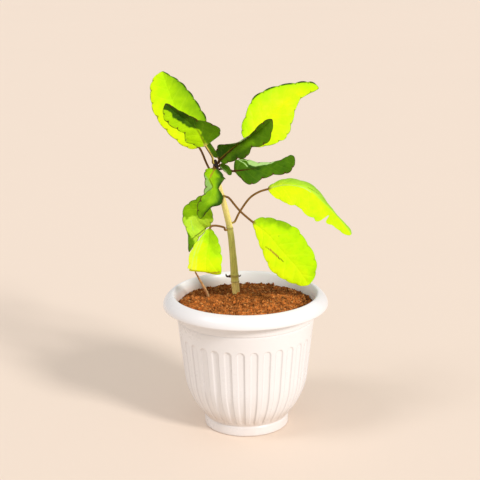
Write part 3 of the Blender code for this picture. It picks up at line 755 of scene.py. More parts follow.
def pot_profile():
    """Radius and height from the middle of the underside, up the outside, over the rim and down inside."""
    def body(heights, step=0.0):
        """Points of the body's outside, moved outwards by a step."""
        return [(float(body_radius(z)) + step, float(z)) for z in heights]

    under = [(0.01, 0), (7.3, 0), (7.5, 0.1)] + [(r, UNDERSIDE) for r in (8.1, 15, 28, 35.2)]
    foot = [(35.7, 0.15), (35.9, 0), (37.3, 0), (37.9, 0.12), (38.35, 0.45), (38.55, 0.9), (38.6, 1.4),
            (38.6, 4), (38.55, 7.6), (38.45, 8.3), (38.2, 8.7), (float(body_radius(9.6)) - 0.25, 9.5)]
    flutes = body(np.concatenate((np.linspace(FLUTE_FOOT, 18, 14), np.linspace(19, 48, 20),
                                  np.linspace(51, 81, 10), np.linspace(82, 89, 22))))
    band = (body((90.5, 96, 101, 102.9)) + body((103.3, 103.6), -0.3) + body((103.8,), 0.5)
            + body((104.3,), 0.6) + body((108,), 0.45) + body((112.5,), 0.4))
    neck = [(64.05, 114.6), (64.2, 117.5), (64.6, 119.2), (65.3, 119.9), (66.4, 120.2), (68.6, 120.0),
            (70.0, 119.2), (71.2, 117.6), (72.4, 115.4), (73.0, 114.5), (73.5, 114.1), (74.1, 114.0),
            (74.6, 114.2), (74.9, 114.8)]
    crown = through(((74.9, 114.8), (74.75, 116.8), (73.9, 118.9), (72.4, 121.0), (70.0, 123.4),
                     (67.6, 124.9), (65.8, 125.2), (64.5, 124.0), (63.4, 121.8), (62.4, 118.4),
                     (61.6, 114.5)), np.linspace(0, 1, 36))
    inside = body((112, 108, 100, 80, 60, 48, 40, 34, 28, 25, 20, 17), -POT_WALL)
    floor = [(36.6, 12), (36.2, 6), (36.0, 4.2)] + [(r, FLOOR_TOP) for r in (35.2, 28, 15, 0.01)]
    return np.array(under + foot + flutes + band + neck + crown[1:].tolist() + inside + floor)


def channel_width(z):
    """Half width of a channel in degrees: full, then a quarter circle over its last 4 mm, for an arch."""
    arch = np.sqrt(np.clip(1 - ((z - FLUTE_HEAD + ARCH) / ARCH) ** 2, 0.0, 1)) * (z < FLUTE_HEAD)
    return np.clip(arch + (z < FLUTE_HEAD - ARCH), 0, 1) * FLUTE_HALF_WIDTH


def channel_share(offset, width):
    """How far a spot is across its channel: 0 in the middle, 1 at the edge, and 9 where there is none."""
    return np.where(width > 0.05, np.abs(offset) / np.maximum(width, 0.05), 9)


def pot_shades(points):
    """Where light is painted on the pot: shade on the edges of its channels and low down on the foot, and a
    warm reflection inside by the soil.
    """
    x, y, z = points.T
    pitch = 360 / FLUTES
    offset = (np.degrees(np.arctan2(x, -y)) - FLUTE_PHASE + pitch / 2) % pitch - pitch / 2
    radius = np.hypot(x, y)
    outside = radius > body_radius(z) - np.where(z > 100, 0.8, 1.7)
    run = ramp(FLUTE_FOOT, FLUTE_FOOT + 3, z) * ramp(FLUTE_HEAD + 1, FLUTE_HEAD - 1, z) * outside
    # Painted shade: a darker line on each channel's edges, where shade falls in the corners
    line = np.exp(-((channel_share(offset, channel_width(z)) - 0.98) / 0.14) ** 2) * run
    # Painted shade: darker low on the body and on the foot ring, and most on the lowest 1.6 mm by the floor
    foot = (1.4 * ramp(28, 11, z) * ramp(9, 10, z) + 0.5 * ramp(10, 9, z) + ramp(1.6, 0.4, z)) * outside
    # Painted reflection: the soil's warm, darker colour on the inner wall's left side, just above the soil
    inside = ramp(123, 115, z) * (z > 110) * (1 - outside) * ramp(0.3, -0.8, x / np.maximum(radius, 1))
    return np.stack((line, foot, inside), -1)


def pot_rings(depth):
    """Rings of the pot: its profile turned about Z, less the channels.

    Across a channel the depth is full but for its sides, by 1 - a^6, where a is 1 at the edge, and it
    fades in over the channel's lowest 5 mm.
    """
    r, z = pot_profile().T
    pitch = 360 / FLUTES
    edge = np.linspace(-1, 1, FLUTE_COLUMNS // 2 + 3)
    between = np.linspace(FLUTE_HALF_WIDTH, pitch - FLUTE_HALF_WIDTH, FLUTE_COLUMNS // 2)[1:-1]
    steps = np.concatenate((np.sign(edge) * np.abs(edge) ** 0.6 * FLUTE_HALF_WIDTH, between))
    turn = np.radians((FLUTE_PHASE + np.arange(FLUTES)[:, None] * pitch + steps).ravel())
    outside = np.arange(len(r)) < np.argmax(r)
    share = channel_share(np.tile(steps, FLUTES), channel_width(z)[:, None])
    cross = 1 - np.clip(share, 0, 1) ** 6
    run = ramp(FLUTE_FOOT, FLUTE_FOOT + 5, z) * outside * (z > FLUTE_FOOT)
    radius = r[:, None] - depth * run[:, None] * cross
    return np.stack((radius * np.sin(turn), -radius * np.cos(turn), z[:, None] + 0 * turn), -1)


def drilled(piece):
    """Cuts the drain holes through the floor, by a Boolean whose result becomes the mesh."""
    drills = []
    for angle in np.radians(np.arange(DRAIN_HOLES) * 360 / DRAIN_HOLES + DRAIN_PHASE):
        line = [(DRAIN_CIRCLE * np.sin(angle), DRAIN_CIRCLE * np.cos(angle), z) for z in DRILL_HEIGHTS]
        drills.append(ring_surface(tube(line, (DRAIN_HOLE_RADIUS,) * 3, 2, DRAIN_SIDES)))
    points, faces = joined(*drills)
    cutter = bpy.data.objects.new("drill", bpy.data.meshes.new("drill"))
    cutter.data.from_pydata((points * MM).tolist(), [], faces)
    bpy.context.scene.collection.objects.link(cutter)
    boolean = piece.modifiers.new("drain holes", "BOOLEAN")
    boolean.object = cutter
    boolean.operation = "DIFFERENCE"
    boolean.solver = "EXACT"
    bpy.context.view_layer.update()
    result = bpy.data.meshes.new_from_object(piece.evaluated_get(bpy.context.evaluated_depsgraph_get()))
    piece.modifiers.clear()
    piece.data = result
    bpy.data.objects.remove(cutter)


def soil_height(x, y):
    """Top of the soil: level at the wall, with a mound at the front and low lumps all over."""
    depth = np.where(y < MOUND_Y, MOUND_FRONT, MOUND_BACK)
    mound = np.exp(-((x - MOUND_X) / MOUND_WIDTH) ** 2 - ((y - MOUND_Y) / depth) ** 2)
    lumps = np.sin(0.31 * x + 0.9) * np.sin(0.27 * y + 0.4) + 0.6 * np.sin(0.55 * x - 0.43 * y)
    return SOIL_EDGE + MOUND_HEIGHT * mound + 0.55 * lumps


def soil_relief(x, y):
    """Fine relief on top of it: four sizes of random patches."""
    return sum(height * patches(x, y, size, seed) for seed, (height, size) in enumerate(SOIL_RELIEF, 1))


def soil_colour(x, y, look, seed=5):
    """From loose light fibre on the mound to dark wet fibre behind it and along the wall."""
    wander = 7 * patches(x, y, 14.0, seed) + 4 * patches(x, y, 5.0, seed + 1)
    front = ramp(22, 8, y + wander - 0.12 * np.abs(x - MOUND_X))
    sides = ramp(61, 48, np.hypot(x, y) + wander * 0.6 + 0.1 * y)
    dry = front * (0.15 + 0.85 * sides)
    dry = np.clip(dry + 0.35 * patches(x, y, 2.5, seed + 2) * (0.4 + dry), 0, 1)
    return mixed(look.wet, look.dry, dry)


def soil_rings():
    """Rings of the filling, out from the middle of its underside, up the wall and in over its top."""
    turn = np.arange(SOIL_SIDES) * 2 * np.pi / SOIL_SIDES
    edge = float(body_radius(SOIL_EDGE)) - POT_WALL - SOIL_GAP
    radius = edge * np.linspace(0.002, 1, SOIL_ROWS)[:, None] ** 0.8
    x, y = radius * np.sin(turn), -radius * np.cos(turn)
    top = np.stack((x, y, soil_height(x, y) + soil_relief(x, y) * ramp(1.0, 0.97, radius / edge)), -1)
    z = np.array((FLOOR_TOP + SOIL_SIDE_GAP, 17.0, 25.0, 34.0, 48.0, 80.0, 110.0))[:, None]
    r = np.minimum(body_radius(z) - POT_WALL, np.where(z < 17, 36.0, 100.0)) - SOIL_SIDE_GAP
    sides = np.stack((r * np.sin(turn), -r * np.cos(turn), z + 0 * turn), -1)
    return np.concatenate((sides, top[::-1]))


def crumbs(count, seed, look):
    """Loose crumbs: each a ball of 3 rings with its own size, lean and place on the soil."""
    random = np.random.default_rng(seed)
    r = CRUMB_REACH * np.sqrt(random.uniform(0, 1, count))
    turn = random.uniform(0, 2 * np.pi, count)
    x, y = r * np.sin(turn), -r * np.cos(turn)
    size = random.uniform(0.25, 0.55, count) * random.uniform(0.8, 2.0, count) ** 1.2
    centre = np.stack((x, y, soil_height(x, y) + soil_relief(x, y) + 0.3 * size), -1)
    rows = np.array((-0.8, 0.0, 0.8))[:, None]
    level = np.sqrt(1 - rows ** 2)
    sides = np.arange(CRUMB_SIDES) * 2 * np.pi / CRUMB_SIDES
    ball, faces = ring_surface(np.stack((level * np.cos(sides), level * np.sin(sides), rows + 0 * sides), -1))
    ball[-2:] = (0, 0, -1.0), (0, 0, 1.0)
    stretch = random.uniform(0.6, 1.5, (count, 1, 3)) * random.uniform(0.75, 1.25, (count, len(ball), 1))
    points = centre[:, None] + ball * stretch * size[:, None, None]
    quads = 2 * CRUMB_SIDES
    faces = repeated(faces[:quads], count, len(ball)) + repeated(faces[quads:], count, len(ball))
    soil = soil_colour(x, y, look)
    bright = random.uniform(0, 1, count) ** 3 * ramp(0.02, 0.15, soil[:, 0])
    colour = mixed(soil * random.uniform(0.45, 1.6, (count, 1)), look.speck, bright * 0.6)
    return points.reshape(-1, 3), faces, np.repeat(colour, len(ball), 0)


def fibres(count, seed, look):
    """Loose fibres: three-sided threads along a short curve that starts and ends in the soil."""
    random = np.random.default_rng(seed)
    r = FIBRE_REACH * np.sqrt(random.uniform(0, 1, count))
    place, heading = random.uniform(0, 2 * np.pi, (2, count))
    length = random.uniform(2.0, 8.0, count)
    bend = random.uniform(-1.2, 1.2, count)
    lift = random.uniform(0.2, 1.4, count)
    thick = random.uniform(0.07, 0.16, count)
    s = np.linspace(-0.5, 0.5, FIBRE_ROWS)
    turn = heading[:, None] + bend[:, None] * s
    x = (r * np.sin(place))[:, None] + length[:, None] * s * np.cos(turn)
    y = -(r * np.cos(place))[:, None] + length[:, None] * s * np.sin(turn)
    inside = np.minimum(1, CRUMB_REACH / np.hypot(x, y))
    x, y = x * inside, y * inside
    z = soil_height(x, y) + soil_relief(x, y) * 0.6 + lift[:, None] * (1 - (2 * s) ** 2) - 0.1
    middle = np.stack((x, y, z), -1)
    side = np.stack((-np.sin(turn), np.cos(turn), 0 * turn), -1)
    corner = np.arange(FIBRE_SIDES) * 2 * np.pi / FIBRE_SIDES
    ring = np.cos(corner)[:, None] * side[:, :, None] + np.sin(corner)[:, None] * np.array((0, 0, 1.0))
    points = middle[:, :, None] + ring * thick[:, None, None, None]
    size = FIBRE_ROWS * FIBRE_SIDES
    ends = ((2, 1, 0), (size - 3, size - 2, size - 1))
    faces = repeated(grid_faces(FIBRE_ROWS, FIBRE_SIDES), count, size) + repeated(ends, count, size)
    base = soil_colour(x[:, 2], y[:, 2], look) * random.uniform(0.5, 1.6, (count, 1))
    colour = mixed(base, look.speck, random.uniform(0, 0.6, count) * ramp(0.02, 0.2, base[:, 0]))
    return points.reshape(-1, 3), faces, np.repeat(colour, size, 0)


def stem_middle(height):
    """Points of the stem's middle line at these heights."""
    share = np.atleast_1d((np.asarray(height, float) - STEM_LOW) / (STEM_TOP - STEM_LOW))
    x, y = through(STEM_LINE, share).T
    return np.stack((x, y, np.broadcast_to(height, x.shape)), 1)


def stem_radius(height):
    """Radii of the stem, with a swollen ring at each leaf scar."""
    height = np.atleast_1d(np.asarray(height, float))
    swell = sum(np.exp(-((height - mark) / 1.3) ** 2) for mark in STEM_NODES)
    return np.interp(height, STEM_HEIGHTS, STEM_RADII) + NODE_SWELL * swell


def stem_rings():
    """Rings round the stem's line: the radius swells at each leaf scar and has a fine groove in it."""
    cap_heights, cap_widths = np.transpose(STEM_CAP)
    z = np.concatenate((np.linspace(STEM_FOOT, STEM_END, STEM_ROWS), cap_heights))
    turn = np.arange(STEM_SIDES) * 2 * np.pi / STEM_SIDES
    up = z[:, None] + 0 * turn
    groove = sum(np.exp(-((up - mark - 0.5 * np.sin(turn + mark)) / 0.28) ** 2) for mark in STEM_NODES)
    ribs = 0.05 * np.sin(5 * turn + 0.02 * up) + 0.07 * patches(up, 9 * np.cos(turn) + 20, 5.0, 8)
    radius = stem_radius(z)[:, None] - 0.3 * groove + ribs
    radius[-len(cap_widths):] *= cap_widths[:, None]
    circle = np.stack((np.cos(turn), np.sin(turn), 0 * turn), -1)
    return stem_middle(z)[:, None] + radius[..., None] * circle, z, turn


def stem_colour(z, turn, look):
    """Straw below, olive green above, purple at the crown; brown at the scars, painted shade down the left
    side, and a painted highlight on the upper collar's right side.
    """
    z = z[:, None] + 0 * turn
    straw = ramp(*LOW_STRAW, z) + ramp(*HIGH_STRAW, z) * 0.75
    # Painted shade: the bark's brown down the stem's left side
    left = ramp(0.6, 1.0, -np.cos(turn) + 0 * z) * 0.4
    scar = sum(np.exp(-((z - mark) / 0.9) ** 2) for mark in STEM_NODES) * 0.55
    # Painted highlight: the upper pale collar shows only on the stem's right side
    collar = np.exp(-((z - HIGH_COLLAR) / 1.2) ** 2) * ramp(-0.2, 0.6, np.cos(turn))
    collar = collar + np.exp(-((z - LOW_COLLAR) / 0.5) ** 2)
    return covered(look.stem, (straw, look.straw), (left, look.bark), (scar, look.bark),
                   (np.minimum(collar, 0.8), look.straw), (ramp(*CROWN, z), look.crown))


def leaf_path(leaf):
    """Way out of the stem's side, and the points of petiole and midrib, which bend out of that way."""
    middle = stem_middle(leaf.seat)[0]
    along = unit(stem_middle(leaf.seat + 1.0)[0] - stem_middle(leaf.seat - 1.0)[0])
    out = np.asarray(leaf.petiole[0], float) - middle
    out = unit(out - out.dot(along) * along)
    start = middle + out * (stem_radius(leaf.seat)[0] + SEAT_GAP)
    way = np.asarray(leaf.petiole[0], float) - start
    lead = start + 0.25 * way + 0.5 * LEAD_SHARE * np.linalg.norm(way) * out
    start = start - out * (SEAT_GAP + SEAT_DEPTH)
    return out, [start, lead, *np.asarray(leaf.petiole, float), *np.asarray(leaf.midrib, float)]


def blade_rows(teeth, rows):
    """Shares of the blade at its rows, closer together at base and tip, and the teeth up to each."""
    step = np.linspace(0, 1, rows * teeth + 1)[1:-1]
    inner = BLADE_TRIM + (1 - 2 * BLADE_TRIM) * (0.5 * step + 0.25 * (1 - np.cos(np.pi * step)))
    ends = np.array(END_ROWS)
    blade = np.concatenate((ends, inner, 1 - ends[::-1]))
    return blade, np.interp(blade, (0, *inner, 1), (0, *step, 1)) * teeth


def leaf_frame(leaf, out, path, share, t):
    """Middle of each row and the ways to its side and its face, which don't twist down the petiole."""
    rib = through(path, share)
    along = unit(through(path, share + 0.002) - through(path, share - 0.002))
    along[0] = out
    face = through(leaf.face, t)
    face = unit(face - np.sum(face * along, 1, keepdims=True) * along)
    for row in range(np.count_nonzero(t == 0) - 1, -1, -1):
        face[row] = unit(face[row + 1] - face[row + 1].dot(along[row]) * along[row])
    return rib, np.cross(along, face), face


def leaf_grid(leaf, columns, rows, tears):
    """Surface of a leaf on a grid: rows along petiole and midrib, columns over the top and back under it.

    Each half of the blade is an arc across the midrib, of the half's width, fold and curl there. The
    width falls away to nothing at base and tip like the root of 1 - |2t - 1|^5, and the teeth are
    humps of |sin|^0.7 on its edge. The face is lowered by a groove over the midrib and the side
    veins, and swells between them; the underside has a keel. Down the petiole the section is round,
    and is carried on from the blade's base without twisting.
    """
    out, path = leaf_path(leaf)
    last = len(path) - 1
    base = last - len(leaf.midrib) + 1
    petiole = np.linspace(0, base, PETIOLE_ROWS * base, endpoint=False)
    blade, teeth = blade_rows(leaf.teeth, rows)
    share = np.concatenate((petiole, base + blade * (last - base))) / last
    t = np.concatenate((0 * petiole, blade))[:, None]
    rib, side, face = leaf_frame(leaf, out, path, share, t[:, 0])
    length = np.linalg.norm(np.diff(rib[t[:, 0] > 0], axis=0), axis=1).sum()

    v = np.linspace(-1, 1, columns)
    u = v - 0.08 * np.sin(2 * np.pi * v)

    def halves(key):
        """One of the halves' numbers all along the blade, from the half that a column is on."""
        left, right = (through(getattr(half, key), t[:, 0]) for half in (leaf.left, leaf.right))
        return np.where(u >= 0, right, left)

    tooth = np.concatenate((0 * petiole, teeth))[:, None]
    stalk = np.concatenate((petiole / base, np.ones(len(blade))))[:, None]
    thin = np.clip((t > 0) * (0.4 + 12 * t), 0, 1)
    envelope = (t > 0) * np.sqrt(1 - np.abs(2 * t - 1) ** 5)
    notch = (t > 0) * (1 - np.abs(np.sin(np.pi * tooth)) ** 0.7)
    radius = PETIOLE_RADIUS * (1 - 0.75 * t)
    full = halves("width") * envelope
    width = full - np.minimum(NOTCH_DEPTH, 0.14 * full) * notch
    for place, reach, depth in tears:
        width = width - (u >= 0) * depth * np.exp(-((t - place) / reach) ** 2)
    width = np.maximum(width, radius)
    fold, curl = np.radians(halves("fold")) * thin, np.radians(halves("curl")) * thin
    curl = np.where(np.abs(curl) < STRAIGHT, STRAIGHT, curl)
    size = np.abs(u)
    angle = fold + curl * size
    aside = width / curl * (np.sin(angle) - np.sin(fold)) * np.sign(u)
    rise = width / curl * (np.cos(fold) - np.cos(angle))
    middle = rib[:, None] + side[:, None] * aside[..., None] + face[:, None] * rise[..., None]
    lean = np.sin(angle) * np.sign(u)
    normal = face[:, None] * np.cos(angle)[..., None] - side[:, None] * lean[..., None]

    phase = tooth - VEIN_SLANT * size
    vein = np.exp(-(np.abs(phase % 1 - 0.5) / 0.12) ** 2) * ramp(1.0, 0.7, size) * thin
    from_rib = width * size
    groove = GROOVE_DEPTH * np.exp(-(from_rib / 0.9) ** 2) * thin * (1 - t)
    relief = (VEIN_RELIEF * (0.5 - vein) * ramp(0.0, 0.25, size) * ramp(1.0, 0.8, size) - groove) * thin
    wave = MARGIN_WAVE * np.sin(np.pi * (tooth + 0.4)) * size ** 3 * envelope * (width > 6)
    round_edge = np.sqrt(1 - 0.98 * size ** 2)
    thick = thin * BLADE_HALF_THICKNESS * (1 - 0.9 * size ** 8) + (1 - thin) * radius * round_edge
    keel = KEEL_DEPTH * (1 - t) * np.exp(-(from_rib / 1.3) ** 2) * thin
    top = middle + normal * (thick + relief + wave)[..., None]
    bottom = middle - normal * (thick + keel - 0.6 * relief - wave)[..., None]

    def both(above, below=None):
        """A field over the top and back under it, the same on both unless the underside has its own."""
        above = np.broadcast_to(above, width.shape)
        return np.concatenate((above, above[:, ::-1] if below is None else below + 0 * above), 1)

    fields = {"u": u, "t": t, "along": length * t, "stalk": stalk, "phase": phase, "rib": from_rib,
              "edge": width * (1 - size) * thin + 3 * (1 - thin), "tooth": tooth}
    fields = {key: both(field) for key, field in fields.items()}
    fields["face"] = both(1.0, -1.0)
    return np.concatenate((top, bottom[:, ::-1]), 1), fields


def ripeness(look, points, f):
    """How ripe a leaf is at each spot, from its look and two sizes of patches."""
    x, y, z = np.moveaxis(points, -1, 0)
    u, t = f["u"], f["t"]
    return (look.ripe + look.across * u + look.along * (t - 0.5) + look.middle * (0.5 - np.abs(u))
            + 0.05 * patches(x + y, z, 9.0, 12) + 0.03 * patches(x - y, z, 3.0, 13))


def toned(ripe, look):
    """The four leaf colours at 0, 1/3, 2/3 and 1, straight lines between them."""
    tones = np.array([tuple(tone) for tone in (look.dark, look.green, look.lime, look.yellow)])
    return np.stack([np.interp(ripe, np.linspace(0, 1, 4), tones[:, k]) for k in range(3)], -1)


def zones(name, f, rough):
    """How much riper and how much paler a leaf is in the zones that only it has; some zones are painted light
    and shade, noted at each.
    """
    u, t = f["u"], f["t"]
    ripe, pale = 0 * t, 0 * t
    wander = 0.05 * np.sin(23 * t + 1) + 0.08 * rough
    crest = ramp(0.3, 0.8, np.abs(np.sin(np.pi * f["tooth"]))) * ramp(1.9, 0.9, f["edge"])

    def past(stations, values):
        """How far a spot is to the right of a border, which is given across at stations along the blade."""
        return u - np.interp(t, stations, values) - wander
    if name == "leaf_top_right_back":
        ripe -= 0.6 * crest * ramp(0.0, -0.5, u) * ramp(0.3, 0.42, t)
    elif name == "leaf_top_left_back":
        ripe -= 0.35 * crest * ramp(0.0, 0.6, u)
    elif name == "leaf_arched_right":
        # Painted sheen: the far half, seen at a grazing angle, is paler and a little greener
        ripe -= 0.14 * ramp(0.0, -0.25, u) * ramp(0.1, 0.3, t)
        pale += 0.12 * ramp(0.0, -0.2, u)
    elif name == "leaf_top_left_front":
        # Painted shade: darker to the right of a wavy border, the half in shade; the lime rest is the lit
        # part
        line = past((0, 0.25, 0.41, 0.61, 0.83, 0.93, 1), (0.1, 0.12, -0.29, -0.43, -0.29, -0.5, -1.2))
        ripe -= (0.55 - 0.14 * ramp(0.5, 0.2, t)) * ramp(-0.05, 0.05, line)
    elif name == "leaf_hanging_front":
        line = past((0, 0.17, 0.23, 0.42, 0.49, 0.63, 1), (1.4, 0.9, 0.5, 0.05, 0.43, 1.0, 1.4))
        pale += 0.42 * ramp(-0.05, 0.08, line)
        # The first term is painted shade down the right side; the second darkens the pale patch
        ripe -= 0.2 * ramp(-0.3, -1.0, u) + 0.16 * ramp(-0.05, 0.08, line)
    elif name == "leaf_side_left":
        # Painted light: a sunlit patch, riper and paler, across the blade's middle; the tip beyond it is
        # darker
        start = np.interp(u, (-1, -0.7, -0.35, 0.3, 0.83), (0.22, 0.30, 0.42, 0.49, 0.52)) + 0.5 * wander
        inside = ramp(-0.03, 0.03, t - start) * ramp(0.03, -0.02, t - 0.80 + 0.08 * u)
        ripe += 0.30 * inside - 0.12 * ramp(0.80, 0.84, t + 0.08 * u)
        pale += 0.16 * inside
    elif name == "leaf_top_right_front":
        folded = ramp(-0.3, -0.7, u) * ramp(0.2, 0.28, t) * ramp(0.62, 0.45, t)
        pale += 0.8 * folded * (f["face"] < 0)
    elif name == "leaf_middle_right":
        line = past((0, 0.2, 0.25, 0.35, 0.47, 0.6, 0.7, 1),
                    (-1.4, -1.2, -0.42, -0.28, -0.22, -0.5, -1.1, -1.4))
        pale += 0.9 * ramp(0.08, -0.04, line)
    elif name == "leaf_low_left":
        ripe += 0.16 * ramp(0.35, 0.55, t)
        pale += 0.10 * ramp(0.4, 0.8, u)
    return ripe, pale


def painted(name, leaf, points, f, look):
    """The leaf's colour: its ripeness and zones, its marks, its brown midrib, and its stalk."""
    u, t = f["u"], f["t"]
    rough = patches(points[..., 0], points[..., 2], 2.5, 14)
    ripe, pale = zones(name, f, rough)
    blend = {"ripe": ripe + ripeness(leaf.look, points, f), "pale": pale, "dried": 0 * t, "stain": 0 * t}
    here = np.stack((np.where(t > 0, f["rib"] * np.sign(u), 99.0), f["along"]), -1)
    for mark in MARKS.get(name, ()):
        limits = SOFT if mark.kind == "ripe" else CRISP
        weight = ramp(*limits, from_line(here, mark.line) / mark.reach + 0.35 * rough) * (f["face"] > 0)
        blend[mark.kind] += mark.strength * weight
    brown = leaf.look.rib * ramp(0.5, 0.0, t) * ramp(1.1, 0.4, f["rib"]) * (t > 0)
    darkness = leaf.look.stalk * (1 + ramp(0.05, 0.45, f["stalk"])) + 0.12 * rough
    # Painted shade: the left side of this leaf's stalk is darkened to the midrib's brown, its right side
    # stays pale
    if name == "leaf_top_left_front":
        darkness += 1.6 * ramp(-0.1, -0.6, u)
    stalk = covered(look.pale_stalk, (darkness, look.stalk), (darkness - 1, look.rib))
    crown = ramp(0.35, 0.0, f["stalk"]) * (leaf.seat > CROWN_SEAT)
    return covered(
        toned(blend["ripe"], look), (blend["pale"], look.pale),
        (BACK_BLOOM * (f["face"] < 0), look.underside), (brown + blend["stain"], look.rib),
        (blend["dried"], look.dried),
        (ramp(0.07, 0.0, t) * ramp(3.0, 0.8, f["rib"]), stalk), (crown, look.crown))


def leaf_attributes(name, leaf, points, f, look):
    """What the leaf material reads: colour; phase, distance from midrib and place across; and the margin."""
    fields = {"tint": painted(name, leaf, points, f, look),
              "vein": np.stack((f["phase"], np.where(f["t"] > 0, f["rib"], 3.0), np.abs(f["u"])), -1),
              "edge": np.stack((f["edge"], f["tooth"], leaf.look.margin * (f["t"] > 0)), -1)}
    return {key: capped(values.reshape(-1, 3)) for key, values in fields.items()}


def capped(values):
    """Numbers of a grid's points, with those of the two points that close its ends."""
    return np.concatenate((values, values[:1], values[-1:]))


def colour_setting(name, words, value):
    """Setting for a colour."""
    return FloatVectorProperty(name=name, description=words, default=value, size=3, min=0.0, max=1.0,
                               subtype="COLOR")


def share_setting(name, words, value, low=0.0, high=1.0):
    """Setting for a share or a strength from 0 to 1."""
    return FloatProperty(name=name, description=words, default=value, min=low, max=high, subtype="FACTOR")


class PotLook(PropertyGroup):
    """Sizes and colours of the pot."""
    colour: colour_setting("Plastic", "Colour of the moulded plastic", (0.865, 0.845, 0.845))
    roughness: share_setting("Roughness", "Roughness of the plastic's skin", 0.32, 0.1, 0.9)
    channel: FloatProperty(name="Channel depth", description="Depth of the upright channels",
                           default=1.1 * MM, min=0.0, max=1.6 * MM, unit="LENGTH")
    # Strength of the painted shade on the channels' edges and low on the foot
    dust: share_setting("Dust", "Strength of the dust near the foot and in the channels", 0.3)


class SoilLook(PropertyGroup):
    """Colours and loose pieces of the soil."""
    dry: colour_setting("Dry fibre", "Colour of the loose fibre on the mound", (0.68, 0.215, 0.042))
    wet: colour_setting("Wet fibre", "Colour of the damp fibre behind and along the wall",
                        (0.21, 0.054, 0.008))
    speck: colour_setting("Specks", "Colour of the brightest crumbs and fibres", (0.88, 0.50, 0.18))
    crumbs: IntProperty(name="Crumbs", description="Number of loose crumbs", default=3200, min=0, max=6000)
    fibres: IntProperty(name="Fibres", description="Number of loose fibres", default=1100, min=0, max=4000)


class PlantLook(PropertyGroup):
    """Colours of stem and leaves."""
    dark: colour_setting("Dark green", "Youngest leaves", (0.022, 0.080, 0.001))
    green: colour_setting("Green", "Growing leaves", (0.16, 0.36, 0.002))
    lime: colour_setting("Lime", "Full-grown leaves in the light", (0.56, 0.92, 0.001))
    yellow: colour_setting("Yellow", "Ripest leaves", (0.92, 1.0, 0.004))
    underside: colour_setting("Underside", "Bloom on the backs of the leaves", (0.42, 0.66, 0.28))
    # Pale zones also hold painted sheen and highlights on some leaves' faces
    pale: colour_setting("Pale zones", "Bloom on turned edges and patches of the face", (0.50, 0.74, 0.30))
    dried: colour_setting("Dried zones", "Scars and dried edges", (0.45, 0.20, 0.03))
    margin: colour_setting("Margin", "Line on the leaves' edge", (0.07, 0.03, 0.008))
    rib: colour_setting("Midrib", "Base of the midrib and stains", (0.06, 0.018, 0.004))
    stalk: colour_setting("Brown stalk", "Browned leaf stalks; the darkest have the midrib's colour",
                          (0.30, 0.145, 0.042))
    pale_stalk: colour_setting("Pale stalk", "Fresh leaf stalks", (0.70, 0.56, 0.14))
    crown: colour_setting("Crown", "Top of the stem", (0.022, 0.006, 0.004))
    stem: colour_setting("Stem", "Middle of the stem", (0.55, 0.54, 0.10))
    straw: colour_setting("Straw", "Oldest part of the stem", (0.82, 0.70, 0.20))
    bark: colour_setting("Bark", "Scars and the stem's shaded side", (0.27, 0.15, 0.05))
    gloss: share_setting("Leaf roughness", "Roughness of the leaves' wax", 0.5, 0.1, 0.9)
    vein_strength: share_setting("Veins", "How clearly the side veins show", 0.32)


class DryLook(PropertyGroup):
    """Colours of the dry pieces."""
    twig: colour_setting("Twig", "Light streaks of the dry twig", (0.84, 0.54, 0.25))
    twig_dark: colour_setting("Twig streaks", "Dark streaks of the dry twig", (0.52, 0.27, 0.10))
    stub: colour_setting("Stubs", "Light streaks of the dried stubs", (0.16, 0.09, 0.05))
    stub_dark: colour_setting("Stub streaks", "Dark streaks of the dried stubs", (0.03, 0.012, 0.008))


class StageLook(PropertyGroup):
    """Floor and light."""
    floor: colour_setting("Floor", "Colour of the plain floor", (0.86, 0.72, 0.60))
    sun: FloatProperty(name="Key light", description="Strength of the soft key light", default=2.0, min=0.0,
                       max=10.0)
    side: FloatProperty(name="Side light", description="Strength of the weak light from the left",
                        default=0.66, min=0.0, max=3.0)
    sky: FloatProperty(name="Fill light", description="Strength of the even light all round", default=0.6,
                       min=0.0, max=3.0)
    shadows: BoolProperty(name="Shadows", description="Whether the lights cast shadows", default=True)


class BuildPot(Operator):
    """Build the fluted pot with its rolled rim and drain holes"""
    bl_idname = "kalanchoe.build_pot"
    bl_label = "Pot"

    def execute(self, context):
        look = context.scene.kalanchoe_pot
        piece = add_piece("fluted_pot", *ring_surface(pot_rings(look.channel / MM)), plastic_material(look))
        drilled(piece)
        corners = np.empty(3 * len(piece.data.vertices))
        piece.data.vertices.foreach_get("co", corners)
        add_field(piece.data, "soiled", pot_shades(corners.reshape(-1, 3) / MM))
        dress(piece, "pot")
        return {"FINISHED"}


class BuildSoil(Operator):
    """Build the fibre filling with its loose crumbs and fibres"""
    bl_idname = "kalanchoe.build_soil"
    bl_label = "Soil"

    def execute(self, context):
        look = context.scene.kalanchoe_soil
        material = soil_material()
        points, faces = ring_surface(soil_rings())
        x, y = points[:, 0], points[:, 1]
        # Painted shade: the soil's colour is darkened in the hollows of its relief
        light = 0.16 + ramp(-0.9, 0.3, soil_relief(x, y))
        colour = soil_colour(x, y, look) * light[:, None]
        dress(add_piece("fibre_filling", points, faces, material, {"tint": colour}), "soil")
        crumb, fibre = crumbs(look.crumbs, CRUMB_SEED, look), fibres(look.fibres, FIBRE_SEED, look)
        points, faces = joined(crumb[:2], fibre[:2])
        colour = np.concatenate((crumb[2], fibre[2]))
        loose = add_piece("crumbs_and_fibres", points, faces, material, {"tint": colour})
        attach(loose, "root")
        return {"FINISHED"}


class BuildStem(Operator):
    """Build the bare stem with its leaf scars"""
    bl_idname = "kalanchoe.build_stem"
    bl_label = "Stem"

    def execute(self, context):
        look = context.scene.kalanchoe_plant
        rings, z, turn = stem_rings()
        points, faces = ring_surface(rings)
        colour = capped(stem_colour(z, turn, look).reshape(-1, 3))
        dress(add_piece("bare_stem", points, faces, stem_material(), {"tint": colour}), "stem")
        return {"FINISHED"}


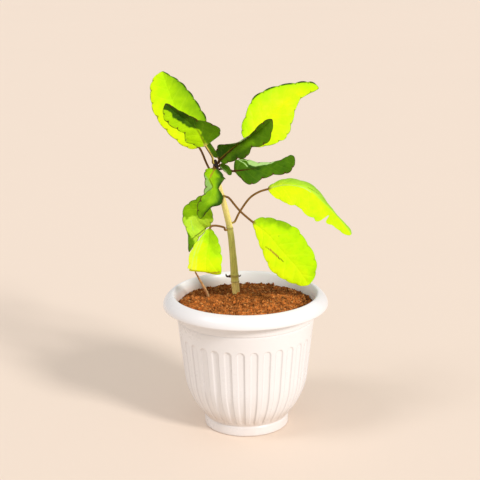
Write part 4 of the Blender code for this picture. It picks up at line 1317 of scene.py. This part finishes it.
class BuildLeaves(Operator):
    """Build the toothed leaves with their stalks"""
    bl_idname = "kalanchoe.build_leaves"
    bl_label = "Leaves"

    def execute(self, context):
        look = context.scene.kalanchoe_plant
        material = leaf_material(look)
        for name, leaf in LEAVES.items():
            columns = MARKED_COLUMNS if name in MARKS else LEAF_COLUMNS
            torn = name == "leaf_arched_right"
            rows, tears = (TORN_TOOTH_ROWS, TEARS) if torn else (TOOTH_ROWS, ())
            points, f = leaf_grid(leaf, columns, rows, tears)
            fields = leaf_attributes(name, leaf, points, f, look)
            dress(add_piece("fine_" + name, *ring_surface(points), material, fields), name)
        return {"FINISHED"}


class BuildDryPieces(Operator):
    """Build the dry twig in the soil and the dried stubs on the stem"""
    bl_idname = "kalanchoe.build_dry_pieces"
    bl_label = "Dry pieces"

    def execute(self, context):
        look = context.scene.kalanchoe_dry
        wood = dry_material("Dry twig", look.twig, look.twig_dark)
        twig = ring_surface(tube(TWIG_LINE, TWIG_RADII, TWIG_ROWS, TWIG_SIDES, *TWIG_LUMPS))
        fork = ring_surface(tube(FORK_LINE, FORK_RADII, FORK_ROWS, FORK_SIDES, *FORK_LUMPS))
        dress(add_piece("forked_twig", *joined(twig, fork), wood), "dry_twig")
        dried = dry_material("Dried stub", look.stub, look.stub_dark)
        for name, (side, line, radii) in STUBS.items():
            seat = stem_middle(STUB_HEIGHT)[0]
            seat[0] += side * stem_radius(STUB_HEIGHT)[0]
            line = seat + np.asarray(line, float) * (side, -1, 1)
            rings = tube(line, radii, STUB_ROWS, STUB_SIDES, *STUB_LUMPS)
            dress(add_piece("fine_" + name, *ring_surface(rings), dried), name)
        return {"FINISHED"}


class BuildStage(Operator):
    """Set the plain floor, the soft light and the camera"""
    bl_idname = "kalanchoe.build_stage"
    bl_label = "Stage"

    def execute(self, context):
        look = context.scene.kalanchoe_stage
        corners = np.array(((-1, -1, 0), (1, -1, 0), (1, 1, 0), (-1, 1, 0))) * FLOOR_REACH - (0, 0, FLOOR_GAP)
        floor = add_piece("floor", corners, [[0, 1, 2, 3]], floor_material(look))
        world = bpy.data.worlds.new("Soft studio")
        world.use_nodes = True
        tree = world.node_tree
        feed(tree, tree.nodes["Background"].inputs, {"Color": SKY, "Strength": look.sky})
        context.scene.world = world
        for name, energy, (spread, colour, ahead) in (
                ("Key light", look.sun, KEY_LIGHT), ("Side light", look.side, SIDE_LIGHT)):
            light = bpy.data.lights.new(name, "SUN")
            light.energy = energy
            light.angle = math.radians(spread)
            light.color = colour
            light.use_shadow = look.shadows
            lamp = bpy.data.objects.new(name, light)
            lamp.rotation_euler = Vector(ahead).to_track_quat("-Z", "Y").to_euler()
            context.scene.collection.objects.link(lamp)
        self.set_camera(context)
        return {"FINISHED"}

    @staticmethod
    def set_camera(context):
        """Camera of the photograph: looks along +Y, turned by yaw, tipped down by pitch, then rolled."""
        yaw, pitch, roll = CAMERA_YAW, CAMERA_PITCH, CAMERA_ROLL
        ahead = Vector((math.sin(yaw), math.cos(yaw), 0))
        level = Vector((math.cos(yaw), -math.sin(yaw), 0))
        forward = ahead * math.cos(pitch) - Vector((0, 0, math.sin(pitch)))
        upward = ahead * math.sin(pitch) + Vector((0, 0, math.cos(pitch)))
        right = level * math.cos(roll) + upward * math.sin(roll)
        up = upward * math.cos(roll) - level * math.sin(roll)
        data = bpy.data.cameras.new("Camera")
        data.lens = CAMERA_LENS
        data.sensor_width = 36.0
        data.clip_end = 50.0
        camera = bpy.data.objects.new("Camera", data)
        camera.matrix_world = Matrix.Translation((0, -CAMERA_DISTANCE * MM, CAMERA_HEIGHT * MM)) @ Matrix(
            (right, up, -forward)).transposed().to_4x4()
        context.scene.collection.objects.link(camera)
        context.scene.camera = camera
        context.scene.view_settings.view_transform = "Standard"


OPERATORS = (BuildPot, BuildSoil, BuildStem, BuildLeaves, BuildDryPieces, BuildStage)
LOOKS = {"kalanchoe_pot": PotLook, "kalanchoe_soil": SoilLook, "kalanchoe_plant": PlantLook,
         "kalanchoe_dry": DryLook, "kalanchoe_stage": StageLook}


class KalanchoePanel(Panel):
    """Settings and build steps of the potted kalanchoe"""
    bl_idname = "VIEW3D_PT_kalanchoe"
    bl_label = "Potted kalanchoe"
    bl_space_type = "VIEW_3D"
    bl_region_type = "UI"
    bl_category = "Kalanchoe"

    def draw(self, context):
        for key, group in LOOKS.items():
            box = self.layout.box()
            for setting in group.__annotations__:
                box.prop(getattr(context.scene, key), setting)
        for operator in OPERATORS:
            self.layout.operator(operator.bl_idname)


def register():
    """Registers the classes and hangs the settings on the scene."""
    for item in (*LOOKS.values(), *OPERATORS, KalanchoePanel):
        bpy.utils.register_class(item)
    for key, group in LOOKS.items():
        setattr(bpy.types.Scene, key, PointerProperty(type=group))


def unregister():
    """Takes the settings and the classes away again."""
    for key in LOOKS:
        delattr(bpy.types.Scene, key)
    for item in reversed((*LOOKS.values(), *OPERATORS, KalanchoePanel)):
        bpy.utils.unregister_class(item)


def main():
    """Builds every piece and the stage."""
    register()
    bpy.ops.kalanchoe.build_pot()
    bpy.ops.kalanchoe.build_soil()
    bpy.ops.kalanchoe.build_stem()
    bpy.ops.kalanchoe.build_leaves()
    bpy.ops.kalanchoe.build_dry_pieces()
    bpy.ops.kalanchoe.build_stage()


if __name__ == "__main__":
    main()
